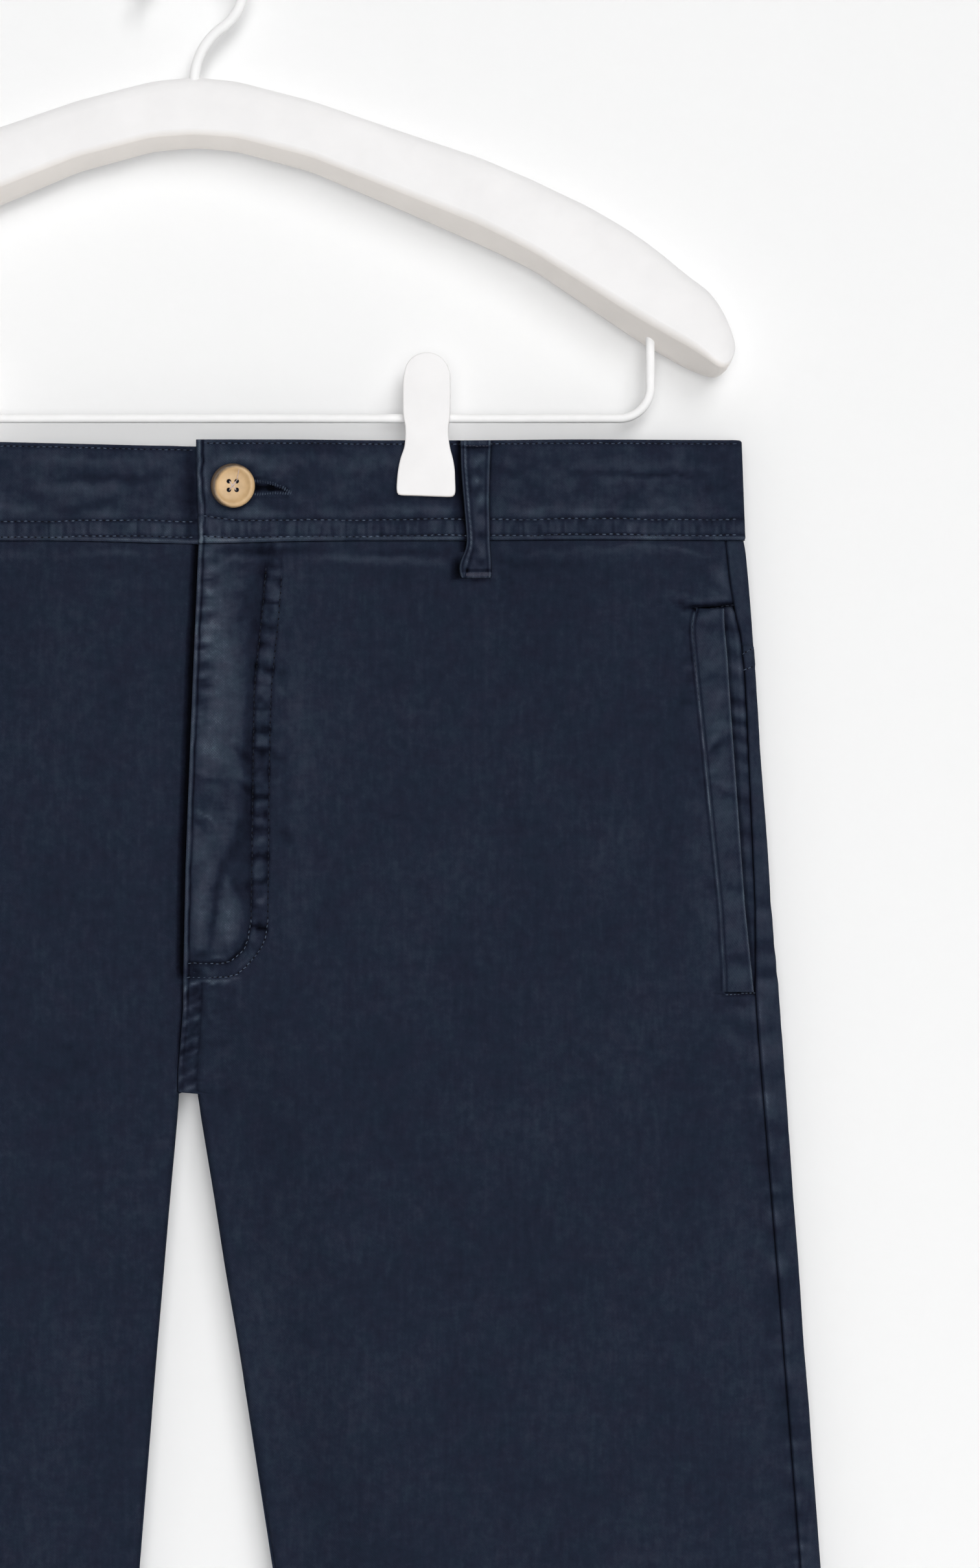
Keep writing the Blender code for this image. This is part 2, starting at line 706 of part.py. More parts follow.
def build_hanger():
    arms = build_arms()
    neck_top = WAIST_Z + ARM["upper"][0]
    sweep = 55.0
    turn = HOOK_RADIUS * math.cos(math.radians(sweep)) / (1 - math.cos(math.radians(sweep)))
    loop_z = -(HOOK_RADIUS - WIRE_RADIUS)
    loop = arc((0.0, loop_z), HOOK_RADIUS, 190.0, -sweep, 26)
    stem_z = loop[-1][1] - turn * math.sin(math.radians(sweep))
    swan = arc((turn, stem_z), turn, 180.0 - sweep, 180.0, 6)[1:]
    stem = [(0.0, neck_top - 12.0)]
    wire("hanger_hook", loop + swan + stem, WIRE_RADIUS, 3, WHITE)
    hole = cylinder(WIRE_RADIUS + HOLE_CLEARANCE, 24.6, 16, (0, 0, 1), (0.0, 0.0, neck_top))
    combine(arms, "hook_hole", hole)

    bar_z = WAIST_Z + BAR_RISE
    leg_top = WAIST_Z + 44.0
    hole_depth = 30.0
    corner = arc((BAR_LEG_X - BAR_BEND, bar_z + BAR_BEND), BAR_BEND, 0.0, -90.0, 8)
    half = [(BAR_LEG_X, leg_top), *corner, (60.0, bar_z)]
    points = half + [(-x, z) for x, z in reversed(half)]
    wire("hanger_bar", points, BAR_RADIUS, 3, WHITE)
    for word, side in SIDES.items():
        middle = (side * BAR_LEG_X, 0.0, leg_top + SEAM_GAP - hole_depth / 2)
        hole = cylinder(BAR_RADIUS + HOLE_CLEARANCE, hole_depth, 16, (0, 0, 1), middle)
        combine(arms, f"bar_hole_{word}", hole)


def main():
    for old in list(bpy.data.objects):
        bpy.data.objects.remove(old, do_unlink=True)
    bands = {}
    for word, side in SIDES.items():
        build_front(f"front_{word}", side)
        build_back(f"back_{word}", side)
        build_yoke(f"yoke_{word}", side)
        bands[word] = build_band(f"waistband_{word}", side)
        build_welt(f"pocket_welt_{word}", side)
        build_facing(f"pocket_facing_{word}", side)
        build_loop(f"belt_loop_front_{word}", side * LOOP_FRONT_X, FRONT)
        build_loop(f"belt_loop_back_{word}", side * LOOP_BACK_X, BACK)
        build_clip(f"clip_{word}_front", side * CLIP_X, FRONT)
        build_clip(f"clip_{word}_back", side * CLIP_X, BACK)
    build_loop("belt_loop_back_centre", 0.0, BACK)
    build_zip()
    build_button(bands["left"])
    build_hanger()


main()
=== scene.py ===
import math

import bmesh
import bpy
import numpy as np
from mathutils import Matrix, Vector


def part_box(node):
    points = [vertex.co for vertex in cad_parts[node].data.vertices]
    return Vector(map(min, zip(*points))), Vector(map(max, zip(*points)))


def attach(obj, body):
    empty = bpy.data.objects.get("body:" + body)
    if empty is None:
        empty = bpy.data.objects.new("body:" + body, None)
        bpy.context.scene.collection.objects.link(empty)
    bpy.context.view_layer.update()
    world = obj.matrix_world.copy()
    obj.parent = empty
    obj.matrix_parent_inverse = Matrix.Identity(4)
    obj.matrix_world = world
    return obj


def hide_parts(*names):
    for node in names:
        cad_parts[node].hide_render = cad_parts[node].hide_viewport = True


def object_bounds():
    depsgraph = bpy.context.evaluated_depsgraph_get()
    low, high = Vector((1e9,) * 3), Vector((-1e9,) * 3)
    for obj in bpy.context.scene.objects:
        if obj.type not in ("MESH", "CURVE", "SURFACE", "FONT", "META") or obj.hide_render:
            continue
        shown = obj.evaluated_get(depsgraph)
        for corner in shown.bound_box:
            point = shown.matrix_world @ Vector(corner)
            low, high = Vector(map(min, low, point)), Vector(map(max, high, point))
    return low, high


# Navy chino shorts, clipped by the waistband to a white bar hanger.
# Lengths are millimetres in the piece dictionaries and metres in the meshes.
# x runs to the wearer's left, drop is the distance below the waistband's top edge.

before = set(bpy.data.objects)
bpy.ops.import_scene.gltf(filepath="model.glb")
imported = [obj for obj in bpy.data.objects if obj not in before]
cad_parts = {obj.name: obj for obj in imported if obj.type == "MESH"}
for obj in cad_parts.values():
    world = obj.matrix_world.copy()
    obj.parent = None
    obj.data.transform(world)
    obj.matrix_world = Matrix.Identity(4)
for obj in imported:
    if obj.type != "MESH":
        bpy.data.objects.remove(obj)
cadLow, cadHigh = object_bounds()
print("frame loaded")

mm = 0.001
front, back = -1, 1
left, right = 1, -1
sides = {"left": left, "right": right}
chance = np.random.default_rng(11)

bar = {"radius": 1.75, "rise": 8.5, "bend": 12.0, "legX": 175.8, "legTop": 44.0}
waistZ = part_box("hanger_bar")[0].z / mm + bar["radius"] - bar["rise"]


def table(columns, *rows):
    return dict(zip(columns.split(), np.array(rows, float).T))


def level(rows, column, drop):
    # reads between the rows, with the corners eased
    return sum(np.interp(drop + step, rows["drop"], rows[column]) for step in (-2, -1, 0, 1, 2)) / 5


def smooth(value):
    value = np.clip(value, 0.0, 1.0)
    return value * value * (3 - 2 * value)


def bell(value):
    return np.exp(-value * value)


def roundedEdge(inward, radius):
    # how far a rounded edge falls away: 1 at the edge, 0 from radius inward
    return 1 - np.sqrt(1 - (1 - np.clip(inward / radius, 0, 1)) ** 2)


def marked(height, wearAndShade, where):
    # a rise of the cloth and a change of its tone, which carries real wear and also painted highlight and
    # painted shade, as strong as where says
    return np.array([height * where, wearAndShade * where])


def meshFrom(mesh, name):
    data = bpy.data.meshes.new(name)
    mesh.to_mesh(data)
    mesh.free()
    return data


def addObject(name, data):
    made = bpy.data.objects.new(name, data)
    bpy.context.scene.collection.objects.link(made)
    return made


# The cut: the lines that the pieces share.
cut = {
    "crotch": 252.0,
    "hem": 482.0,
    "band": 38.7,
    "yokeSide": 79.0,
    "yokeFall": 26.0,
    "foldRadius": 3.0,
    "wrap": 5.0,
    "hemTilt": 0.06,
    "flyExtension": 16.0,
    "pocketTop": 64.3,
    "pocketFoot": 213.2,
    "turnUp": 25.0,
    "hemRow": 459.0,
    "splay": 13.0,
    "panelThick": 1.0,
}
outline = table(
    "drop outer seam",
    (0, 210.3, 203.0), (38, 211.7, 204.7), (42, 212.6, 205.1), (55, 213.8, 206.5), (69, 214.9, 209.0),
    (74, 215.2, 210.5), (90, 216.4, 212.1), (105, 217.4, 212.9), (180, 222.7, 216.2),
    (212, 225.3, 216.2), (230, 226.7, 217.4), (330, 233.8, 225.5), (500, 245.8, 238.4),
)
fly = table(
    "drop edge",
    (38, 2.1), (70, 0.9), (118, -0.9), (165, -2.6), (200, -3.3), (219, -3.8), (244, -6.2), (252, -6.2),
)
pocket = table(
    "drop welt mouth",
    (64.3, 193.8, 204.2), (69, 192.4, 204.3), (73, 192.0, 204.5), (82, 192.8, 205.4),
    (105, 195.2, 206.9), (180, 202.8, 212.3), (205, 204.3, 214.9), (213, 204.4, 215.7),
)
legGap = {left: (1.5, 0.1635), right: (-6.1, -0.086)}
loopX = {"front": 108.7, "back": 122.0}
loopShape = table(
    "drop left right",
    (0.2, -6.2, 6.0), (10, -6.0, 5.6), (22, -5.0, 5.4), (38, -3.6, 5.6), (41, -3.7, 5.6),
    (43.5, -4.7, 5.8), (46, -6.0, 6.0), (49, -6.8, 6.0), (51.6, -6.5, 6.0), (53.4, -5.6, 6.0),
)
loopFoot = loopShape["drop"][-1]


def across(side, rows, column, drop):
    # the right leg hangs a little straighter
    splay = cut["splay"] * np.clip((drop - 120.0) / 362.0, 0, None) if side == right else 0.0
    return side * (level(rows, column, drop) - splay)


def legInner(side, drop):
    start, slope = legGap[side]
    fall = drop - cut["crotch"]
    return start + slope * np.where(fall > 0, np.hypot(fall, 2.5) - 2.5, fall)


def bandBottom(x, face):
    return cut["band"] + np.where(face == front, 1.4 * bell(x / 40), 0.0)


def seatLine(drop):
    return -2.3 * (drop / cut["crotch"]) ** 2


def yokeLine(x):
    return cut["yokeSide"] + cut["yokeFall"] * (1 - np.minimum(np.abs(x) / 212.0, 1.0))


def loopShade(x, drop, face):
    # how far a belt loop shades the cloth beside it
    total = np.zeros(x.shape)
    for turn in (left, right):
        beside = turn * x - loopX["front"]
        before = level(loopShape, "left", drop) - beside
        after = beside - level(loopShape, "right", drop)
        reach = smooth((54.5 - drop) / 1.5)
        total += 1.9 * reach * bell(np.maximum(before, 0) / 1.7) * (before > -1)
        total += 0.6 * reach * bell(np.maximum(after, 0) / 0.7) * (after > -1)
        total += 0.9 * bell((drop - 54.0) / 0.9) * bell(beside / 5.0)
    return total * (face == front)


def hemTilt(side, x, drop):
    return drop - side * cut["hemTilt"] * (x - side * 140) * smooth((drop - 330) / (cut["hem"] - 330))


# The skin that all the cloth lies on: half depths, and how soon it fills out.
body = {"clipped": 1.6, "waist": 6.2, "seat": 12.5, "outerRise": 60.0, "innerRise": 45.0, "clipX": 89.7}


def depthSquared(x, drop):
    outer = np.minimum(
        across(left, outline, "outer", drop) - x, x - across(right, outline, "outer", drop)
    )
    beside = np.maximum(np.maximum(legGap[right][0] - x, x - legGap[left][0]), 0)
    above = np.hypot(beside, cut["crotch"] - drop)
    below = np.maximum(x - legInner(left, drop), legInner(right, drop) - x)
    inner = np.where(drop > cut["crotch"], below, above)
    besideClip = smooth((np.abs(np.abs(x) - body["clipX"]) - 13.0) / 45.0)
    belowClip = smooth((drop - 23.8) / 110)
    free = body["waist"] + (body["seat"] - body["waist"]) * smooth(drop / 150)
    full = body["clipped"] + (free - body["clipped"]) * (1 - (1 - besideClip) * (1 - belowClip))
    radius = cut["foldRadius"]
    rise = smooth((outer - radius) / body["outerRise"]) * smooth((inner - radius) / body["innerRise"])
    depth = radius + (full - radius) * rise
    folds = [np.clip(distance / radius, 0, 1) for distance in (outer, inner)]
    return depth**2 * folds[0] * (2 - folds[0]) * folds[1] * (2 - folds[1])


def skin(x, drop, face, lift):
    # points on one face of the body, moved out by lift, and the ways out
    step = 0.03
    y = face * np.sqrt(np.maximum(depthSquared(x, drop), 0))
    alongX = (depthSquared(x + step, drop) - depthSquared(x - step, drop)) / (2 * step)
    alongDrop = (depthSquared(x, drop + step) - depthSquared(x, drop - step)) / (2 * step)
    out = np.stack([-alongX / 2, y, alongDrop / 2], axis=-1)
    out /= np.maximum(np.linalg.norm(out, axis=-1, keepdims=True), 1e-9)
    point = np.stack([x, y, waistZ - drop], axis=-1) + out * np.asarray(lift)[..., None]
    return point * mm, out


# Creases, puckers and seams are heights in millimetres and a tone from -1, dark, to 1, pale, which
# carries real wear and uneven dye, painted shade in troughs, creases and seams, and painted highlights on
# ridges and folded edges.


def mottle(x, drop, size, seed=0, stretch=1.0):
    # soft patches about as big as size, from -1 to 1, the same at each run
    heights = np.random.default_rng(seed).uniform(-1, 1, (64, 64))
    over, down = np.asarray(x) / size + 512.3, np.asarray(drop) / (size * stretch) + 512.7
    column, row = np.floor(over).astype(int), np.floor(down).astype(int)
    beside, below = smooth(over - column), smooth(down - row)
    corners = [heights[(row + step) % 64, (column + shift) % 64] for step in (0, 1) for shift in (0, 1)]
    upper = corners[0] + (corners[1] - corners[0]) * beside
    lower = corners[2] + (corners[3] - corners[2]) * beside
    return upper + (lower - upper) * below


def strokes(x, drop, rows, bend=1.0):
    # soft ridges and troughs, each from one point to another: half width, height, tone (wear with painted
    # highlight and painted shade)
    total = np.zeros((2, *x.shape))
    x, drop = (
        x + bend * (0.9 * mottle(x, drop, 7, 1) + 0.5 * mottle(x, drop, 3.1, 2)),
        drop + bend * (0.9 * mottle(x, drop, 6, 3) + 0.6 * mottle(x, drop, 2.7, 4)),
    )
    for startX, startDrop, endX, endDrop, width, height, wearAndShade in rows:
        runX, runDrop = endX - startX, endDrop - startDrop
        part = ((x - startX) * runX + (drop - startDrop) * runDrop) / (runX**2 + runDrop**2)
        part = np.clip(part, 0, 1)
        away = np.hypot(x - startX - part * runX, drop - startDrop - part * runDrop)
        total += marked(height, wearAndShade, bell(away / width) * (0.35 + 0.65 * np.sin(np.pi * part)))
    return total


def nearPath(x, drop, path):
    # how far each point is from a path, and where along it
    best, where, run = np.full(x.shape, 1e9), np.zeros(x.shape), 0.0
    for (startX, startDrop), (endX, endDrop) in zip(path, path[1:]):
        runX, runDrop = endX - startX, endDrop - startDrop
        length = math.hypot(runX, runDrop)
        part = np.clip(((x - startX) * runX + (drop - startDrop) * runDrop) / length**2, 0, 1)
        away = np.hypot(x - startX - part * runX, drop - startDrop - part * runDrop)
        where = np.where(away < best, run + part * length, where)
        best = np.minimum(best, away)
        run += length
    return best, where


def along(path, step):
    # points evenly spaced along a rounded path
    path = np.array(path, float)
    ends = np.vstack([2 * path[0] - path[1], path, 2 * path[-1] - path[-2]])
    parts = np.linspace(0, 1, 12, endpoint=False)[:, None]
    fine = []
    for a, b, c, d in zip(ends, ends[1:], ends[2:], ends[3:]):
        fine.append(b + (c - a) * parts / 2 + (a - 2.5 * b + 2 * c - d / 2) * parts**2
                    + (1.5 * (b - c) + (d - a) / 2) * parts**3)
    fine = np.vstack([*fine, path[-1:]])
    run = np.concatenate([[0], np.cumsum(np.hypot(*np.diff(fine, axis=0).T))])
    at = np.linspace(0, run[-1], max(2, round(run[-1] / step) + 1))
    return np.stack([np.interp(at, run, fine[:, axis]) for axis in (0, 1)], axis=1)


def groove(x, drop, path, width=0.7, height=-0.3, wearAndShade=-0.5):
    away, _ = nearPath(x, drop, path)
    return marked(height, wearAndShade, bell(away / width))


def ripple(value, *waves):
    # an uneven wave: each wave is its length, its strength and its start
    return sum(
        strength * np.sin(math.tau * (value / length + start)) for length, strength, start in waves
    )


def newMaterial(name):
    made = bpy.data.materials.new(name)
    made.use_nodes = True
    return made, made.node_tree.nodes, made.node_tree.links


def addNode(nodes, kind, **values):
    made = nodes.new(kind)
    for name, value in values.items():
        if name in made.inputs:
            made.inputs[name].default_value = value
        else:
            setattr(made, name, value)
    return made


def noise(nodes, links, spot, **values):
    made = addNode(nodes, "ShaderNodeTexNoise", **values)
    links.new(spot, made.inputs["Vector"])
    return made.outputs["Fac"]


def addBump(nodes, links, height, strength, distance):
    bump = addNode(nodes, "ShaderNodeBump", Strength=strength, Distance=distance)
    links.new(height, bump.inputs["Height"])
    links.new(bump.outputs["Normal"], nodes["Principled BSDF"].inputs["Normal"])


def ramp(nodes, links, value, *stops):
    made = nodes.new("ShaderNodeValToRGB")
    while len(made.color_ramp.elements) < len(stops):
        made.color_ramp.elements.new(0.5)
    for element, (position, colour) in zip(made.color_ramp.elements, stops):
        element.position = position
        element.color = (*colour, 1.0)
    links.new(value, made.inputs["Fac"])
    return made.outputs["Color"]


def maths(nodes, links, operation, first, second, clamp=False):
    made = nodes.new("ShaderNodeMath")
    made.operation = operation
    made.use_clamp = clamp
    for socket, value in zip(made.inputs, (first, second)):
        if isinstance(value, (int, float)):
            socket.default_value = value
        else:
            links.new(value, socket)
    return made.outputs["Value"]


twillFinish = {
    "dark": (0.0016, 0.0019, 0.0036),
    "deep": (0.0058, 0.0074, 0.0150),
    "base": (0.0136, 0.0186, 0.0341),
    "worn": (0.0352, 0.0458, 0.0690),
    "pale": (0.0900, 0.1140, 0.1480),
    "pitch": 0.00068,
    "yarn": 0.00085,
    "slant": 45.0,
    "bump": 0.5,
}


def timesPlus(nodes, links, value, times, plus, clamp=False):
    made = maths(nodes, links, "MULTIPLY_ADD", value, times, clamp)
    made.node.inputs[2].default_value = plus
    return made


def blend(nodes, links, first, share, second, otherShare):
    # two values, each times its share, added
    return maths(nodes, links, "ADD", maths(nodes, links, "MULTIPLY", first, share),
                 maths(nodes, links, "MULTIPLY", second, otherShare))


def scaled(nodes, links, value, middle, amount):
    # value moved to zero at its middle, times an amount
    centred = maths(nodes, links, "SUBTRACT", value, middle)
    return maths(nodes, links, "MULTIPLY", centred, amount)


def twill(name="navy_twill", tone=0.0):
    made, nodes, links = newMaterial(name)
    shader = nodes["Principled BSDF"]
    lay = addNode(nodes, "ShaderNodeAttribute", attribute_name="lay").outputs["Vector"]
    wearAndShade = addNode(nodes, "ShaderNodeAttribute", attribute_name="wearAndShade").outputs["Fac"]

    # the diagonal lines of the twill, broken up by the yarns and by loose fibres
    turn = addNode(nodes, "ShaderNodeMapping", Rotation=(0, 0, math.radians(-twillFinish["slant"])))
    links.new(lay, turn.inputs["Vector"])
    lines = addNode(
        nodes, "ShaderNodeTexWave", Scale=0.314 / twillFinish["pitch"], Distortion=3.4, Detail=2.0
    )
    lines.inputs["Detail Scale"].default_value = 2.2
    yarns = addNode(
        nodes, "ShaderNodeTexWave", bands_direction="Y", Scale=0.314 / twillFinish["yarn"], Distortion=5.0
    )
    yarns.inputs["Detail Scale"].default_value = 2.5
    for texture in (lines, yarns):
        links.new(turn.outputs["Vector"], texture.inputs["Vector"])
    warp = addNode(nodes, "ShaderNodeMapping", Scale=(1.0, 0.16, 1.0))
    links.new(lay, warp.inputs["Vector"])
    fibre = noise(nodes, links, lay, Scale=1500.0, Detail=2.0, Roughness=0.6)
    streaks = noise(nodes, links, warp.outputs["Vector"], Scale=520.0, Detail=2.0, Roughness=0.6)
    clouds = noise(nodes, links, lay, Scale=24.0, Detail=4.0, Roughness=0.6)
    flecks = noise(nodes, links, lay, Scale=260.0, Detail=2.0, Roughness=0.75)
    crossed = maths(nodes, links, "MULTIPLY", lines.outputs["Fac"], yarns.outputs["Fac"])
    weave = blend(nodes, links, lines.outputs["Fac"], 0.35, crossed, 0.65)
    weave = maths(nodes, links, "ADD", weave, maths(nodes, links, "MULTIPLY", fibre, 0.6))

    # the tone lightens the high cloth with wear and painted highlight and darkens the low cloth with
    # painted shade; the weave shows most where it is pale
    showing = timesPlus(nodes, links, wearAndShade, 0.065, 0.05, True)
    value = timesPlus(nodes, links, wearAndShade, 0.30, 0.5 + tone)
    for pattern, middle, amount in (
        (clouds, 0.5, 0.12), (flecks, 0.5, 0.22), (streaks, 0.5, 0.15), (weave, 0.72, showing),
    ):
        value = maths(nodes, links, "ADD", value, scaled(nodes, links, pattern, middle, amount))
    # the low stops carry painted shade in creases, troughs and seams, the high ones wear and painted
    # highlights on ridges
    colour = ramp(
        nodes, links, value,
        (0.0, twillFinish["dark"]), (0.27, twillFinish["deep"]), (0.5, twillFinish["base"]),
        (0.74, twillFinish["worn"]), (1.0, twillFinish["pale"]),
    )
    # the dye leans to violet in some places and to green in others
    hue = noise(nodes, links, lay, Scale=95.0, Detail=3.0, Roughness=0.7)
    violet, plain, green = (1.06, 0.975, 0.985), (1.0, 1.0, 1.0), (0.95, 1.025, 1.0)
    lean = ramp(nodes, links, hue, (0.36, violet), (0.5, plain), (0.64, green))
    tint = addNode(nodes, "ShaderNodeMix", data_type="RGBA", blend_type="MULTIPLY")
    tint.inputs[0].default_value = 1.0
    links.new(colour, tint.inputs[6])
    links.new(lean, tint.inputs[7])
    links.new(tint.outputs[2], shader.inputs["Base Color"])
    links.new(timesPlus(nodes, links, wearAndShade, -0.08, 0.82), shader.inputs["Roughness"])
    shader.inputs["Specular IOR Level"].default_value = 0.02
    shader.inputs["Sheen Weight"].default_value = 0.012
    shader.inputs["Sheen Roughness"].default_value = 0.5
    shader.inputs["Sheen Tint"].default_value = (0.55, 0.65, 0.85, 1.0)
    addBump(nodes, links, weave, twillFinish["bump"], 0.00012)
    return made


def threadFinish(name, pale, dark):
    made, nodes, links = newMaterial(name)
    shader = nodes["Principled BSDF"]
    spot = addNode(nodes, "ShaderNodeTexCoord").outputs["Object"]
    fuzz = noise(nodes, links, spot, Scale=1500.0, Detail=2.0)
    patches = noise(nodes, links, spot, Scale=120.0, Detail=1.0)
    value = blend(nodes, links, fuzz, 0.4, patches, 0.6)
    links.new(ramp(nodes, links, value, (0.35, dark), (0.62, pale)), shader.inputs["Base Color"])
    shader.inputs["Roughness"].default_value = 0.65
    shader.inputs["Specular IOR Level"].default_value = 0.08
    addBump(nodes, links, fuzz, 0.3, 0.0001)
    return made


def plasticFinish(name, colour, grain=60.0, roughness=0.6, paintedUndersideTint=None):
    made, nodes, links = newMaterial(name)
    shader = nodes["Principled BSDF"]
    where = addNode(nodes, "ShaderNodeTexCoord")
    cloud = noise(nodes, links, where.outputs["Object"], Scale=grain, Detail=3.0)
    fine = noise(nodes, links, where.outputs["Object"], Scale=900.0, Detail=2.0)
    darker = tuple(part * 0.965 for part in colour)
    tone = ramp(nodes, links, cloud, (0.35, darker), (0.65, colour))
    if paintedUndersideTint:
        # painted warm bounce light: faces that look down are tinted a little warmer
        facing = addNode(nodes, "ShaderNodeSeparateXYZ")
        links.new(where.outputs["Normal"], facing.inputs["Vector"])
        down = maths(nodes, links, "MULTIPLY", facing.outputs["Z"], -1.0)
        tint = addNode(nodes, "ShaderNodeVectorMath", operation="MULTIPLY")
        links.new(tone, tint.inputs[0])
        links.new(ramp(nodes, links, down, (0.15, (1.0, 1.0, 1.0)), (0.7, paintedUndersideTint)), tint.inputs[1])
        tone = tint.outputs["Vector"]
    links.new(tone, shader.inputs["Base Color"])
    links.new(timesPlus(nodes, links, cloud, 0.12, roughness - 0.06), shader.inputs["Roughness"])
    shader.inputs["Specular IOR Level"].default_value = 0.15
    addBump(nodes, links, fine, 0.12, 0.0001)
    return made


navyTwill = twill()
navyThread = threadFinish("navy_thread", (0.082, 0.108, 0.156), (0.020, 0.027, 0.046))
darkThread = threadFinish("dark_thread", (0.021, 0.026, 0.042), (0.007, 0.010, 0.017))
# near-black beads at the needle holes: painted shade of each hole
needleHoleShade = plasticFinish("painted_needle_hole_shade", (0.004, 0.004, 0.007), roughness=0.9)
whitePlastic = plasticFinish("white_plastic", (0.895, 0.882, 0.882), paintedUndersideTint=(1.0, 0.962, 0.915))
whiteWire = plasticFinish("white_coated_wire", (0.93, 0.925, 0.925), grain=140.0, roughness=0.55)


def grid(name, columns, rows, lay):
    # a grid of cloth: lay(column, row) gives x, drop, face, lift, the tone of wear and painted shade, and
    # how far round it lies
    mesh = bmesh.new()
    bmesh.ops.create_grid(mesh, x_segments=columns - 1, y_segments=rows - 1, size=0.5)
    data = meshFrom(mesh, name)
    flat = np.empty(3 * len(data.vertices), np.float32)
    data.vertices.foreach_get("co", flat)
    column = np.rint((flat[0::3] + 0.5) * (columns - 1)).astype(int)
    row = np.rint((0.5 - flat[1::3]) * (rows - 1)).astype(int)
    x, drop, face, lift, wearAndShade, run = lay(column, row)
    points, _ = skin(x, drop, face, lift)
    data.vertices.foreach_set("co", points.astype(np.float32).ravel())
    layOut = np.stack([run, -drop, np.where(face == front, 0.0, 200.0)], axis=-1) * mm
    for label, kind, field, values in (
        ("wearAndShade", "FLOAT", "value", wearAndShade), ("lay", "FLOAT_VECTOR", "vector", layOut),
    ):
        made = data.attributes.new(label, kind, "POINT")
        made.data.foreach_set(field, values.astype(np.float32).ravel())
    return data


def outward(data):
    # turns a mesh whose faces point into the garment
    centres = np.empty(3 * len(data.polygons), np.float32)
    normals = np.empty(3 * len(data.polygons), np.float32)
    data.polygons.foreach_get("center", centres)
    data.polygons.foreach_get("normal", normals)
    if (centres[1::3] * normals[1::3]).sum() < 0:
        data.flip_normals()


def place(data, slot, material, *nodes):
    data.shade_smooth()
    data.materials.append(material)
    if nodes:
        data.name = f"{nodes[0]}_finished"
    made = addObject(data.name, data)
    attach(made, "root")
    if nodes:
        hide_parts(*nodes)
    return made


def closeEnds(mesh):
    bmesh.ops.holes_fill(mesh, edges=[edge for edge in mesh.edges if edge.is_boundary], sides=200)
    bmesh.ops.recalc_face_normals(mesh, faces=mesh.faces)
    if mesh.calc_volume(signed=True) < 0:
        bmesh.ops.reverse_faces(mesh, faces=mesh.faces)


def thicken(made, thick):
    solid = made.modifiers.new("cloth_thickness", "SOLIDIFY")
    solid.thickness = thick * mm
    solid.offset = -1
    return made


def strip(name, rows, columns, lay, thick, slot="twill", material=navyTwill):
    # a thin shell of cloth that replaces the node of its name
    data = grid(name, columns, rows, lay)
    outward(data)
    return thicken(place(data, slot, material, name), thick)


def spaced(*stretches):
    # values from 0 up: each stretch runs to a value in even steps
    values = [0.0]
    for end, step in stretches:
        count = max(1, round((end - values[-1]) / step))
        values += list(np.linspace(values[-1], end, count + 1)[1:])
    return np.array(values)


foldSteps = np.array([0.011, 0.1, 0.4, 0.9, 1.5, 2.2, cut["foldRadius"]])


def pick(values, index):
    # a value by its index, held at both ends
    return values[np.clip(index, 0, len(values) - 1)]


def turnUp(*above, nearHem):
    # rows of drop and lift for a panel: down to the crotch and the leg, round the hem and up inside
    crotch, half = cut["crotch"], 1.1
    leg = crotch + 1 + spaced((203, 3.2), (226.5, nearHem), (228, 0.5))
    rows = np.concatenate([*above, [crotch, crotch + 0.4], leg])
    turn = np.radians([22, 45, 67, 90, 112, 135, 158, 180])
    drops = [rows, cut["hem"] - half + half * np.sin(turn), cut["hem"] - spaced((cut["turnUp"], 4.0))[1:]]
    lifts = [0 * rows, -half * (1 - np.cos(turn)), np.full(len(drops[2]), -2 * half)]
    return np.concatenate(drops), np.concatenate(lifts)


def surfaceOf(face, relief, seat):
    # gives points on a piece's surface, seat above it
    def at(x, drop):
        x, drop = np.atleast_1d(np.asarray(x, float)), np.atleast_1d(np.asarray(drop, float))
        return skin(x, drop, np.full(x.shape, face), relief(x, drop)[0] + seat)
    return at


def bead(start, end, out, halfWidth, halfHeight):
    run = Vector(end) - Vector(start)
    out = Vector(out)
    beside = run.cross(out).normalized() * halfWidth * mm
    turn = Matrix.Identity(4)
    for index, axis in enumerate((beside, out * halfHeight * mm, run / 2)):
        turn.col[index] = (*axis, 0.0)
    turn.col[3] = (*((Vector(start) + Vector(end)) / 2), 1.0)
    return turn


def stepsAlong(path, pitch):
    # spots along a path, with the ways along it and to its side
    spots = along(path, pitch)
    step = np.gradient(spots, axis=0)
    step /= np.maximum(np.linalg.norm(step, axis=1, keepdims=True), 1e-9)
    return spots, step, np.stack([-step[:, 1], step[:, 0]], axis=1)


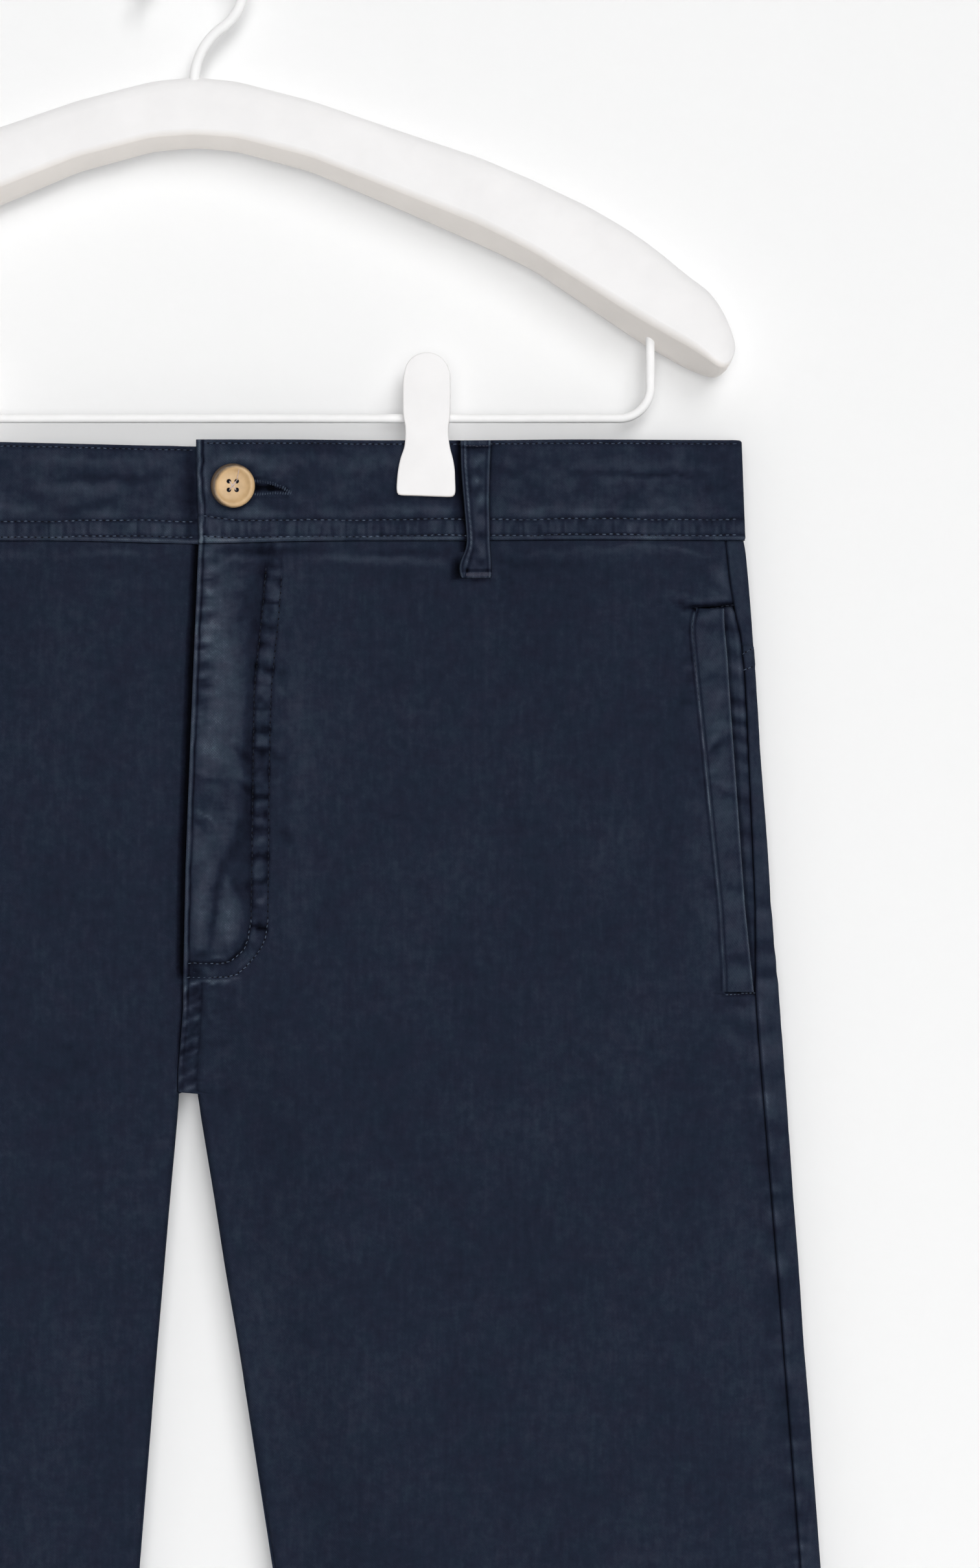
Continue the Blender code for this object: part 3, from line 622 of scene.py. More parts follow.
class Sewing:
    # collects the stitches of a piece, then makes them one mesh
    def __init__(self, name, surface):
        self.name, self.surface, self.threads, self.holes = name, surface, [], []

    def stitch(self, start, end, width, height):
        near, out = self.surface(*start.T)
        far, _ = self.surface(*end.T)
        self.threads += [bead(*ends, width, height) for ends in zip(near, far, out)]

    def dashes(self, path, pitch=2.7, length=1.9, width=0.24, height=0.17, holes=True, wander=0.12):
        spots, step, side = stepsAlong(path, pitch)
        reach = step * length * (1 + 0.1 * chance.standard_normal(len(spots)))[:, None] / 2
        shift = wander * chance.standard_normal((2, len(spots), 1))
        self.stitch(spots - reach + side * shift[0], spots + reach + side * shift[1], width, height)
        if holes:
            # a near-black bead in each gap between dashes is painted shade for the needle hole
            gap = spots[:-1] + np.diff(spots, axis=0) / 2
            middle, out = self.surface(*gap.T)
            for point, way, run in zip(middle, out, step):
                half = np.array([run[0], 0, -run[1]]) * 0.42 * mm
                self.holes.append(bead(point - half, point + half, way, 0.34, 0.10))

    def bars(self, path, pitch, length, width=0.2, height=0.2, lean=0.0):
        # close stitches that stand across a path, as in a tack or a buttonhole's edge
        spots, step, side = stepsAlong(path, pitch)
        uneven = 1 + 0.12 * chance.standard_normal(len(spots))[:, None]
        reach = (side + step * lean) * (length / 2) * uneven
        self.stitch(spots - reach, spots + reach, width, height)

    def make(self, material=None):
        mesh = bmesh.new()
        for turn in self.threads:
            bmesh.ops.create_uvsphere(mesh, u_segments=6, v_segments=4, radius=1.0, matrix=turn)
        threads = len(mesh.faces)
        # the needle holes' beads take the painted-shade material
        for turn in self.holes:
            bmesh.ops.create_uvsphere(mesh, u_segments=6, v_segments=3, radius=1.0, matrix=turn)
        for index, face in enumerate(mesh.faces):
            face.material_index = int(index >= threads)
        bmesh.ops.recalc_face_normals(mesh, faces=mesh.faces)
        made = place(meshFrom(mesh, self.name), "thread", material or navyThread)
        made.data.materials.append(needleHoleShade)
        return made


# The twin rows that hold down the fly's lap, and the lap's puckers.
flyStitch = {
    "outer": [(34, 41), (34, 53), (32.75, 70), (30.4, 94), (29.6, 117.5), (29.25, 153), (28.9, 185),
              (27.6, 192.5), (23.9, 198.6), (16.85, 205.4), (8, 206.5), (-1.5, 206.5)],
    "inner": [(28, 41), (28, 50), (26.25, 70), (23.9, 94), (23.35, 117.5), (23, 153), (22.5, 185),
              (21.4, 191.5), (19.2, 196.4), (13.25, 200.8), (6, 201.2), (-1, 201.1)],
    # where the lap puckers between its two rows: drop and strength
    "puckers": [(47, 0.5), (53.5, 0.7), (62.4, 1.1), (71.8, 0.6), (79, 0.45), (88.4, 1.2), (95.6, 0.3),
                (102.5, 1.0), (111.9, 1.0), (120.6, 1.1), (127.6, 0.45), (137, 0.95), (144, 0.8),
                (150.4, 0.6), (160.8, 1.0), (170.5, 0.8), (180, 0.4), (186.9, 1.25), (196, 0.4)],
}
flyStitch["middle"] = [
    ((a + c) / 2, (b + d) / 2) for (a, b), (c, d) in zip(flyStitch["outer"], flyStitch["inner"])
]

# Soft strokes on the left front: start, end, half width, height, tone; a trough's darker tone is painted
# shade, a ridge's paler tone is wear and painted highlight.
leftFrontMarks = [
    # short puckers that leave the fly's edge
    (3.6, 46.2, 9, 46.6, 1.2, -0.22, -0.42), (3.4, 49.2, 10, 48.6, 1.5, 0.25, 0.5),
    (3.4, 54.4, 9, 54.8, 1.3, -0.2, -0.35), (3.2, 58.8, 8.6, 58.2, 1.5, 0.25, 0.55),
    (3.2, 61.9, 7, 62.3, 1.1, -0.15, -0.3), (3.2, 65.3, 9.4, 65.6, 1.6, 0.2, 0.5),
    (3.1, 68.2, 8, 68.6, 1.2, -0.15, -0.4), (3, 71.4, 8.8, 71, 1.4, 0.2, 0.42),
    (2.9, 73.4, 7, 73.6, 1.0, -0.15, -0.3), (2.8, 76.3, 8.4, 76.6, 1.4, 0.2, 0.45),
    (2.8, 79, 8.6, 79.3, 1.4, -0.18, -0.45), (2.7, 83.6, 9, 83.8, 1.7, 0.2, 0.5),
    (3.2, 87.9, 9.8, 88.4, 1.6, -0.28, -0.75), (2.5, 91.4, 7.8, 91.2, 1.4, 0.22, 0.45),
    (2.4, 94.8, 8.4, 95, 1.5, -0.25, -0.6), (2.2, 98, 8, 97.8, 1.5, 0.2, 0.45),
    (2, 102.5, 6.5, 102.9, 1.3, -0.15, -0.35),
    # worn cloth within the lap
    (9.5, 62, 10.5, 104, 5.5, 0.15, 0.28), (16, 78, 15, 108, 5.0, 0.05, 0.28),
    (6, 104, 12, 115, 5.5, 0.1, 0.4), (20.5, 46, 17.5, 100, 3.2, -0.2, -0.28),
    # the slanting creases below the middle of the fly
    (2, 116.4, 10.5, 121.4, 3.8, 0.4, 0.7), (10, 120.6, 17.5, 126.6, 2.6, 0.25, 0.25),
    (1.5, 126.8, 9, 129.4, 0.8, 0.15, 0.35), (15.6, 117, 22.8, 123.6, 1.5, -0.5, -0.75),
    (13, 114.2, 20, 119.5, 1.6, 0.25, 0.3), (18, 132.4, 22.4, 137.2, 1.4, -0.45, -0.8),
    (17.5, 128.5, 22.6, 131.5, 1.4, 0.3, 0.4), (0.8, 129.5, 13, 132, 1.6, -0.25, -0.4),
    (1.8, 133.5, 16, 147, 4.0, -0.15, -0.32), (1.4, 142.8, 9.4, 148.2, 0.65, 0.35, 0.75),
    (9, 118, 9, 196, 8.5, 0.0, 0.14), (0.4, 146.4, 4.2, 149.6, 1.2, -0.25, -0.45),
    (1, 152, 4.8, 164, 3.4, 0.35, 0.42), (20.6, 141, 18.8, 154, 2.3, -0.3, -0.42),
    (18.6, 150, 12.6, 165, 2.2, -0.45, -0.6), (14.4, 138, 13, 150, 2.6, 0.25, 0.25),
    (18.4, 153, 16.4, 167, 3.4, -0.1, -0.34), (12.6, 163, 8.4, 175, 1.6, -0.45, -0.75),
    (8.2, 173, 7.4, 195, 1.3, -0.4, -0.62), (15.4, 167, 18.8, 175, 1.6, -0.35, -0.6),
    (10.4, 169, 13, 172, 1.3, 0.2, 0.35), (6.8, 162, 3.4, 177, 1.6, 0.3, 0.45),
    (2.4, 168, 2.6, 196, 2.0, 0.45, 0.62), (14.2, 175, 14.6, 195, 4.2, 0.5, 0.6),
    (14, 186, 15.6, 191, 2.6, 0.1, 0.12), (19.6, 178, 19.2, 190, 1.8, 0.15, 0.2),
    (0, 197.6, 8.4, 198.6, 1.5, -0.35, -0.7), (6.6, 198.8, 13, 199.8, 0.8, 0.25, 0.7),
    (-1.2, 200.2, 4, 200.4, 0.8, -0.2, -0.4),
    # the lap pulls at the panel beside it
    (30, 88.4, 36.6, 89.8, 1.6, -0.25, -0.42), (33, 94.6, 34.4, 99, 0.9, 0.2, 0.35),
    (29.6, 120.4, 36, 124.4, 1.5, -0.25, -0.45), (30, 116.8, 34.6, 118.6, 1.3, 0.2, 0.3),
    (33, 148, 39.4, 155.4, 2.6, -0.25, -0.42), (30, 130.6, 34, 132.4, 1.2, 0.15, 0.25),
    (38, 44, 42.5, 190, 6.0, 0.15, 0.2), (33.4, 45, 31.6, 84, 2.6, 0.1, 0.15),
    # under the lap's foot, with a painted highlight along its rim
    (-1.4, 208.4, 2.6, 208.6, 0.6, 0.15, 1.0), (3.6, 207.9, 9.6, 208.8, 0.6, 0.25, 1.7),
    (8.6, 208.7, 17.5, 208.0, 0.6, 0.2, 1.2), (4, 214, 26, 214, 5.0, 0.2, 0.08),
    # under the waistband, with painted shade just below its edge
    (6, 42.6, 52, 43.6, 1.8, -0.3, -0.65), (9, 46.4, 34, 45.6, 1.3, 0.15, 0.4),
    (36, 44.5, 100, 46.8, 1.7, 0.3, 0.5), (46, 49, 90, 51, 3.5, -0.1, -0.12),
    (146, 42, 184, 41.2, 0.8, 0.15, 0.35), (180, 41.2, 201, 45, 0.8, 0.2, 0.4),
    (60, 43.6, 101, 42.6, 1.2, -0.1, -0.3), (102, 55.4, 116, 55.4, 2.0, 0.1, 0.1),
    (98.5, 44, 100.2, 55.6, 1.8, -0.15, -0.35), (118, 43.4, 200, 42.8, 1.6, 0.15, 0.25),
    (120, 47, 150, 48.4, 1.6, -0.12, -0.18), (126, 45.2, 172, 46.6, 1.8, 0.12, 0.12),
    (116, 45, 130, 49.6, 1.6, -0.15, -0.25),
    # above and beside the pocket, with painted shade in its folds
    (201, 49, 205, 56, 2.6, 0.2, 0.5), (196, 57.5, 205.6, 62, 2.2, 0.25, 0.3),
    (203.6, 44, 205, 62, 1.2, 0.1, 0.25), (184.6, 62.4, 193.6, 64.6, 1.1, -0.4, -0.5),
    (186, 65.4, 192.4, 69.6, 1.7, 0.3, 0.3), (182, 59, 194, 61.4, 1.8, 0.25, 0.25),
    (186.8, 71, 191, 74, 1.2, -0.15, -0.25), (186, 87.4, 192, 88.4, 1.2, 0.2, 0.4),
    (187, 84.4, 191.6, 84.8, 0.9, -0.15, -0.2), (189, 79, 189.8, 118, 2.4, -0.1, -0.1),
    (186.5, 101, 193.4, 102.2, 1.3, -0.12, -0.2), (192, 127, 196, 128, 1.5, -0.1, -0.2),
    (198, 166, 200.4, 176, 2.0, -0.1, -0.18), (194, 140, 200.4, 204, 6.5, 0.0, 0.2),
    # under the pocket's foot
    (205.6, 216.8, 213.8, 217.6, 1.4, -0.3, -0.4), (207, 219.6, 214.4, 222.6, 1.6, 0.3, 0.42),
    (205, 224, 214, 229, 2.6, -0.15, -0.15), (203, 226, 214.6, 236, 3.4, 0.2, 0.25),
    # broad, faint falls of the cloth
    (60, 142.4, 99, 147.6, 0.5, -0.1, -0.22), (120, 62, 182, 108, 16, 0.35, 0.0),
    (66, 96, 88, 230, 24, 0.45, 0.05), (150, 132, 168, 330, 22, -0.5, 0.0),
    (40, 250, 84, 420, 20, 0.5, 0.04), (112, 300, 124, 476, 20, -0.5, 0.0),
    (160, 305, 168, 470, 16, 0.5, 0.08), (205, 250, 222, 430, 9, 0.35, 0.12),
    (92, 133, 136, 128, 9, 0.2, 0.06), (158, 145, 166, 168, 12, 0.2, 0.1),
    (14, 262, 40, 440, 7, 0.3, 0.1),
]
# Soft strokes on the right front, in the same columns, with the same painted shade and highlight.
rightFrontMarks = [
    (-6, 43.4, -52, 45, 1.4, 0.15, 0.3), (-52, 43.4, -101, 45.6, 1.8, 0.2, 0.25),
    (-118, 43.4, -200, 42.8, 1.6, 0.15, 0.25), (-10, 47.4, -46, 49.6, 3.0, -0.1, -0.1),
    (-98.5, 44, -100.2, 55.6, 1.8, -0.15, -0.3), (-201, 49, -205, 56, 2.6, 0.2, 0.45),
    (-196, 57.5, -205.6, 62, 2.2, 0.25, 0.3), (-184.6, 62.4, -193.6, 64.6, 1.1, -0.4, -0.5),
    (-186, 65.4, -192.4, 69.6, 1.7, 0.3, 0.3), (-205.6, 216.8, -213.8, 217.6, 1.4, -0.3, -0.4),
    (-207, 219.6, -214.4, 222.6, 1.6, 0.3, 0.42), (-60, 60, -40, 120, 20, 0.35, 0.06),
    (-16, 52, -20, 180, 7, 0.15, 0.08), (-42, 236, -46, 240, 10, -0.1, -0.22),
    (-90, 120, -96, 300, 26, -0.5, 0.0), (-150, 120, -160, 330, 22, 0.5, 0.05),
    (-30, 262, -60, 440, 12, 0.4, 0.06), (-110, 300, -128, 470, 20, 0.45, 0.0),
    (-200, 240, -214, 430, 10, 0.35, 0.12), (-130, 64, -184, 104, 16, 0.3, 0.0),
]


def flyRelief(x, drop):
    # the fly's lap: a folded edge, twin rows that draw the cloth in, and puckers between them; the folded
    # edge is paler by wear and painted highlight, and a crease beside it takes painted shade
    edge = level(fly, "edge", drop)
    beyond = x - edge
    inLap = smooth((256 - drop) / 4)
    wave = ripple(drop, (23, 0.14, 0.1), (9.3, 0.08, 0.4), (51, 0.15, 0.7))
    wave = wave + 0.15 * mottle(0 * x, drop, 4, 5)
    ridge = bell((beyond - 0.8 + 0.3 * wave) / 0.72)
    crease = bell((beyond - 1.95 + 0.6 * wave) / 0.36)
    total = np.array([0.45 * ridge - 0.34 * crease, 0.85 * ridge - 1.2 * crease * (0.8 + 1.2 * wave)])
    total *= inLap * (0.25 + 0.75 * smooth((226 - drop) / 12))
    # small puckers leave the edge's row of stitches, paler where raised and darker where sunk, as painted
    # light and shade
    pull = mottle(0.15 * x, drop + 0.12 * x, 2.1, 6) + 0.5 * mottle(0.3 * x, drop, 1.1, 35)
    pull = pull * smooth((116 - drop) / 10) * bell((beyond - 3.6) / 3.4)
    total += marked(0.14, 0.7, pull)
    # the lap is worn pale, most of all along a fall beside its edge
    above = 0.55 + 0.45 * smooth((drop - 46) / 10) * smooth((150 - drop) / 40)
    fall = 1 + 0.5 * bell((beyond - 9.4) / 2.6) * smooth((140 - drop) / 30)
    worn = smooth((beyond - 2) / 2) * smooth((22 - beyond) / 5) * above
    worn = worn * smooth((204 - drop) / 6) * fall
    total[1] += 0.34 * worn
    warpX = x + 1.0 * mottle(x, drop, 4.2, 7)
    warpDrop = drop + 1.5 * mottle(x, drop, 4.6, 8) + 0.9 * mottle(x, drop, 2.2, 9)
    away, where = nearPath(x, drop, flyStitch["middle"])
    warped, _ = nearPath(warpX, warpDrop, flyStitch["middle"])
    pulled = where + warpDrop - drop
    starts = np.array([spot for spot, _ in flyStitch["puckers"]]) - flyStitch["middle"][0][1]
    between = smooth((3.7 - warped) / 0.9) * smooth((209.5 - drop) / 2)
    bulge = np.clip(1 - (warped / 3.2) ** 2, 0, 1) * smooth((drop - 48) / 6)
    # the puckers between the rows sink with painted shade; the bulge between the rows is paler by wear
    # and painted highlight
    pull = sum(
        strength * bell((pulled - start) / 1.45)
        for start, (_, strength) in zip(starts, flyStitch["puckers"])
    )
    patch = mottle(x, drop, 3.4, 10) + 0.6 * mottle(x, drop, 1.7, 11)
    lit = 1 - 0.45 * smooth((drop - 190) / 12)
    total += marked(0.42, 0.2 * lit, bulge) - marked(0.7, 1.05, pull * between)
    total += marked(0.14, 0.45 * lit, patch * between)
    # the cloth dips along each row with painted shade, most of all on the inner one
    for row, wide, deep in (("outer", 0.6, 0.38), ("inner", 0.75, 0.8)):
        dip = groove(x, drop, flyStitch[row], wide, -0.34, -deep)
        total += dip * (1 + 0.6 * mottle(x, drop, 6, 36)) * smooth((drop - 44) / 8)
    beside, _ = nearPath(x, drop, flyStitch["inner"])
    inside = (x < np.interp(drop, (41, 50, 70, 94, 117, 200), (28, 28, 26.2, 23.9, 23.3, 22)))
    shade = bell((beside - 1.7) / 1.9) * inside * smooth((204 - drop) / 14)
    total += marked(-0.15, -0.55 * (0.8 + 0.5 * mottle(x, drop, 5, 12)), shade)
    # worn and shaded patches over the whole lap
    spread = smooth((23.5 - beyond) / 4) * smooth((beyond - 2) / 2) * inLap
    patch = mottle(x, drop, 5.2, 13, 0.6) + 0.7 * mottle(x, drop, 2.4, 14, 0.5)
    total += marked(0.10, 0.15, patch * spread)
    # the stitched tack where the two rows meet the edge sinks with painted shade
    tack = bell((drop - 204.4) / 2.4) * smooth((9.0 - beyond) / 3)
    total += marked(-0.15, -0.7, tack)
    return total


def crotchRelief(x, drop):
    # the felled seam from the fly's foot to the crotch, drawn into ribs
    edge = level(fly, "edge", drop)
    wide = np.interp(drop, (207.5, 252), (7.2, 7.6))
    reach = smooth((drop - 207.4) / 1.5) * smooth((262 - drop) / 12)
    beyond = x - edge
    inside = smooth((wide - beyond) / 0.8) * smooth(beyond / 0.6)
    slant = ripple(drop + 0.45 * beyond, (4.4, 0.45, 0.2), (6.9, 0.35, 0.55), (2.7, 0.25, 0.1))
    slant += 0.7 * mottle(x, drop + 0.4 * beyond, 2.2, 15)
    side = bell((beyond - wide) / 0.55)
    rise = 0.35 * inside + 0.2 * inside * slant - 0.4 * side
    shade = -0.12 * inside + 0.62 * inside * slant - 0.55 * side
    return marked(rise, shade, reach)


def pocketRelief(side, x, drop):
    # the panel's folded lip beside the welt, and the stitched top of the pocket that draws it in; the lip
    # is paler by wear and painted highlight, and painted shade lies beside it and in the grooves at the
    # pocket's top and foot
    welt = np.abs(across(side, pocket, "welt", drop))
    away = welt - np.abs(x)
    inPocket = smooth((drop - 65) / 1.5) * smooth((213.4 - drop) / 1.5)
    worn = 0.8 + 0.5 * mottle(0 * x, drop, 5, 16) - 0.35 * smooth((drop - 150) / 40)
    total = marked(0.3, 1.15 * worn, bell((away - 0.4) / 0.45) * inPocket)
    total += marked(-0.12, -0.5, bell((away - 1.35) / 0.45) * inPocket)
    bow = 0.7 * mottle(x, 0 * drop, 5, 17)
    for path, wide, depth, shade in (
        ([(188.4, 65.2), (193.0, 64.5)], 0.8, 0.2, 0.7),
        ([(193.0, 64.6), (199, 64.3), (207.8, 63.3)], 1.0, 0.5, 1.7),
        ([(193.4, 65.9), (199, 66.0), (207, 65.0)], 0.9, 0.3, 1.2),
        ([(190, 62.4), (198, 61.6), (204.6, 61.2)], 0.9, -0.2, -0.35),
        ([(204.6, 213.5), (216.2, 213.0)], 0.8, 0.35, 0.8),
    ):
        total += groove(np.abs(x), drop + 0.3 * bow, path, wide, -depth, -shade)
    near = smooth((12 - away) / 8) * inPocket
    total[1] += 0.16 * near * (mottle(x, drop, 4.5, 18) + 0.2)
    return total


def seamRelief(side, x, drop):
    # the side seam: both cloths turn down into it, darkened there with painted shade; a worn lip, also a
    # painted highlight, and small puckers along it, paler where raised and darker where sunk
    beyond = np.abs(across(side, outline, "seam", drop)) - np.abs(x)
    down = bell(np.minimum(beyond, 0) / 0.42 + np.maximum(beyond, 0) / 0.45)
    low = smooth((drop - 214) / 6)
    uneven = mottle(0.2 * x, drop, 3.6, 19) + 0.6 * mottle(0.3 * x, drop, 7.5, 20)
    puckers = uneven * bell(beyond / 4.5) * (0.35 + 0.65 * low)
    lip = bell((beyond + 1.25) / 0.7) * low + 0.35 * bell((beyond - 1.3) / 0.8) * low
    total = marked(-0.5, -0.9, down) + marked(0.16, 0.38, puckers)
    return total + marked(0.12, 0.26 * (1 + 1.4 * uneven), lip)


def hemRelief(x, drop):
    line = cut["hemRow"]
    # the stitched row sinks with painted shade; the folded edge is paler, and the puckers paler where
    # raised and darker where sunk, as painted light and shade
    row = bell((drop - line) / 0.9)
    edge = bell((drop - cut["hem"] + 0.8) / 1.4)
    puckers = ripple(x + 0.3 * drop, (6.3, 0.4, 0.1), (9.7, 0.4, 0.5), (4.1, 0.2, 0.8))
    near = smooth((drop - line + 2) / 3)
    return marked(-0.3, -0.5, row) + marked(0.0, 0.35, edge) + marked(0.07, 0.12, puckers * near)


def drapeRelief(x, drop):
    # the cloth is never quite flat or evenly dyed
    slow = ripple(x + 0.4 * drop, (83, 0.16, 0.1), (47, 0.07, 0.6))
    slow = slow * ripple(drop - 0.3 * x, (131, 0.8, 0.3), (77, 0.5, 0.8))
    dye = 0.05 * mottle(x, drop, 13, 21, 1.8) + 0.04 * mottle(x, drop, 4.2, 22, 2.4)
    return np.array([slow, dye + 0.05 * mottle(x, drop, 29, 23, 1.5)])


def lapDepth(x, drop):
    # how far the right front dips under the left one
    deepest = 2.6
    amount = deepest - (deepest - 0.3) * smooth((drop - 205) / 20)
    return -amount * smooth((x - level(fly, "edge", drop) + 10) / 8.5)


def frontRelief(side):
    marks = leftFrontMarks if side == left else rightFrontMarks

    def relief(x, drop):
        total = strokes(x, drop, marks) + pocketRelief(side, x, drop) + seamRelief(side, x, drop)
        total[1] -= loopShade(x, drop, front)
        total += hemRelief(x, drop) + drapeRelief(x, drop)
        if side == left:
            total += flyRelief(x, drop) + crotchRelief(x, drop)
        else:
            total[0] += np.where(drop < 252, lapDepth(x, drop), 0.0)
            # painted shadow on the right front beside and under the edge of the left front's lap
            gap = x - level(fly, "edge", drop)
            near = bell(np.minimum(gap + 1.6, 0) / 1.1) * smooth((209 - drop) / 5)
            shade = 0.9 * bell(np.minimum(gap + 0.5, 0) / 0.6) * smooth((250 - drop) / 20)
            total[1] -= 1.5 * near + shade
        return total
    return relief


def seamGap(drop):
    # half the gap between front and back at the side seam, shut under the waistband
    return -0.05 + 0.15 * smooth((drop - 41) / 3)


def buildFront(word, side):
    name = f"front_{word}"
    relief = frontRelief(side)
    fine = side == left
    begin = spaced((0.1, 0.1), (3.0, 0.29)) + 0.011 if fine else foldSteps
    rest = spaced((39, 0.62 if fine else 1.6), (172, 3.6), (195, 1.3), (200, 0.42))[1:]
    offsets = np.concatenate([begin, cut["foldRadius"] + rest])
    share = offsets / offsets[-1]
    rowDrop, rowLift = turnUp(
        38 + spaced((26, 1.0)), 64.6 + spaced((148.3, 1.0)), 213.5 + spaced((35.5, 1.25), (37.4, 0.6)),
        nearHem=1.2,
    )

    def lay(column, row):
        drop, lift = rowDrop[row], rowLift[row]
        flyEdge = level(fly, "edge", drop)
        if side == right:
            flyEdge = flyEdge - 0.3 + (cut["flyExtension"] + 0.3) * (1 - smooth((drop - 200) / 13))
        near = np.where(drop > cut["crotch"] - 0.5, legInner(side, drop) + side * 0.011, flyEdge)
        inPocket = (drop > cut["pocketTop"]) & (drop < cut["pocketFoot"])
        seam = across(side, outline, "seam", drop) - side * seamGap(drop)
        far = np.where(inPocket, across(side, pocket, "welt", drop), seam)
        start = np.where(drop > cut["crotch"] + 40, near, flyEdge)
        base = start + (seam - start) * share[column]
        x = base + (far - seam) * np.clip((share[column] - 0.87) / 0.13, 0, 1)
        x = x + (near - start) * np.clip(1 - share[column] / 0.12, 0, 1)
        top = bandBottom(x, front) + 0.15
        drop = np.where(drop < 46, top + (drop - 38) * (46 - top) / 8, drop)
        drop = hemTilt(side, x, drop)
        height, wearAndShade = relief(x, np.minimum(drop, cut["hem"]))
        inside = lift < -1.2
        return x, drop, np.full(x.shape, front), np.where(inside, lift, height + lift), wearAndShade, x

    return strip(name, len(rowDrop), len(share), lay, cut["panelThick"]), relief


def backColumns(steps):
    # columns from the centre or the inseam, across the back, round the side fold, to the seam in front
    fold, wrap = cut["foldRadius"], cut["wrap"]
    offsets = np.concatenate([foldSteps, fold + steps[1:]])
    onBack = offsets / (offsets[-1] + fold)
    return onBack, foldSteps[::-1], np.concatenate([foldSteps[1:], np.linspace(fold, fold + wrap, 7)[1:]])


def layBack(side, column, drop, nearX, columns):
    onBack, roundBack, roundFront = columns
    edge = across(side, outline, "outer", drop)
    seamX = across(side, outline, "seam", drop) + side * seamGap(drop)
    fold, count = cut["foldRadius"], len(onBack)
    turned = count + len(roundBack)
    spread = nearX + (edge - side * fold - nearX) * pick(np.append(onBack / onBack[-1], 1.0), column)
    nearFold = edge - side * pick(roundBack, column - count)
    reach = np.abs(edge - seamX)
    share = pick(roundFront, column - turned)
    share = np.where(share <= fold, share, fold + (reach - fold) * (share - fold) / cut["wrap"])
    onFront = edge - side * np.minimum(share, reach)
    x = np.where(column < count, spread, np.where(column < turned, nearFold, onFront))
    face = np.where(column < turned, back, front)
    run = np.where(face == back, 2 * edge - x, x)
    return x, face, run


# Soft strokes on the back, in the same columns as the fronts: darker in troughs as painted shade, paler
# on ridges as wear and painted highlight.
backMarks = [
    (20, 112, 150, 96, 10, 0.3, 0.05), (40, 150, 70, 246, 14, 0.45, 0.06),
    (14, 214, 96, 250, 6, 0.5, 0.1), (16, 238, 110, 276, 5, -0.4, -0.1),
    (120, 120, 150, 330, 24, -0.5, 0.0), (60, 280, 92, 430, 18, 0.5, 0.05),
    (150, 270, 176, 440, 18, 0.45, 0.05), (14, 262, 44, 420, 8, 0.4, 0.1), (6, 60, 60, 62, 5, 0.15, 0.1),
    (110, 50, 190, 60, 7, 0.2, 0.06), (196, 120, 206, 330, 9, 0.35, 0.12),
    (30, 200, 80, 214, 4, 0.3, 0.1),
]
# Puckers on the cloth that wraps round to the front beside the side seam: drop and strength.
wrapPuckers = [
    (98, 0.3), (118, 0.4), (131, -0.4), (152, 0.3), (178, 0.8), (184, -0.6), (195, 1.0), (200, -0.4),
    (205, 0.9), (209.5, -0.9), (226, 0.5), (243, 0.4), (266, 0.5), (291, 0.4), (322, 0.5), (350, 0.4),
    (381, 0.5), (410, 0.4), (441, 0.5),
]


def backRelief(side):
    def relief(x, drop, face=back):
        onBack = face == back
        seat = x - seatLine(drop)
        total = strokes(side * x, drop, backMarks) * onBack
        total += hemRelief(x, drop) + drapeRelief(x, drop)
        total += seamRelief(side, x, drop) * ~onBack
        above = smooth((256 - drop) / 5) * onBack
        # the seat seam's ridge is paler where its ribs rise, and the seam's groove takes painted shade
        ridge = smooth((8.2 * (side > 0) + 0.01 - np.abs(seat)) / 0.8) if side == left else 0 * x
        seamRib = ripple(drop, (5.3, 0.4, 0.2), (8.1, 0.4, 0.6), (3.1, 0.2, 0.1))
        total += marked(0.35 + 0.10 * seamRib, 0.05 + 0.3 * seamRib, ridge * above)
        total += marked(-0.4, -0.6, bell(seat / 0.6) * above)
        # the yoke seam sinks with painted shade, its stitched welt paler where its ribs rise
        fall = drop - yokeLine(x)
        yokeDown = bell(fall / 0.7) * (0.1 + 0.9 * onBack)
        welt = smooth((8.4 - fall) / 0.8) * smooth((fall + 0.6) / 0.8)
        yokeRib = ripple(x, (5.9, 0.4, 0.2), (9.3, 0.4, 0.6), (3.3, 0.2, 0.1))
        welt = welt * (0.3 + 0.7 * onBack)
        total += marked(0.25 + 0.07 * yokeRib, 0.05 + 0.22 * yokeRib, welt)
        total[1] += 0.2 * ~onBack
        total += marked(-0.4, -0.5, yokeDown)
        # the wrap's puckers are darker where they sink and paler where they rise, as painted shade and
        # light
        nearFold = smooth((np.abs(x) - np.abs(across(side, outline, "outer", drop)) + 12) / 6)
        for spot, strength in wrapPuckers:
            total += marked(-0.16 * strength, -0.42 * strength, bell((drop - spot) / 2.6) * nearFold)
        return total
    return relief


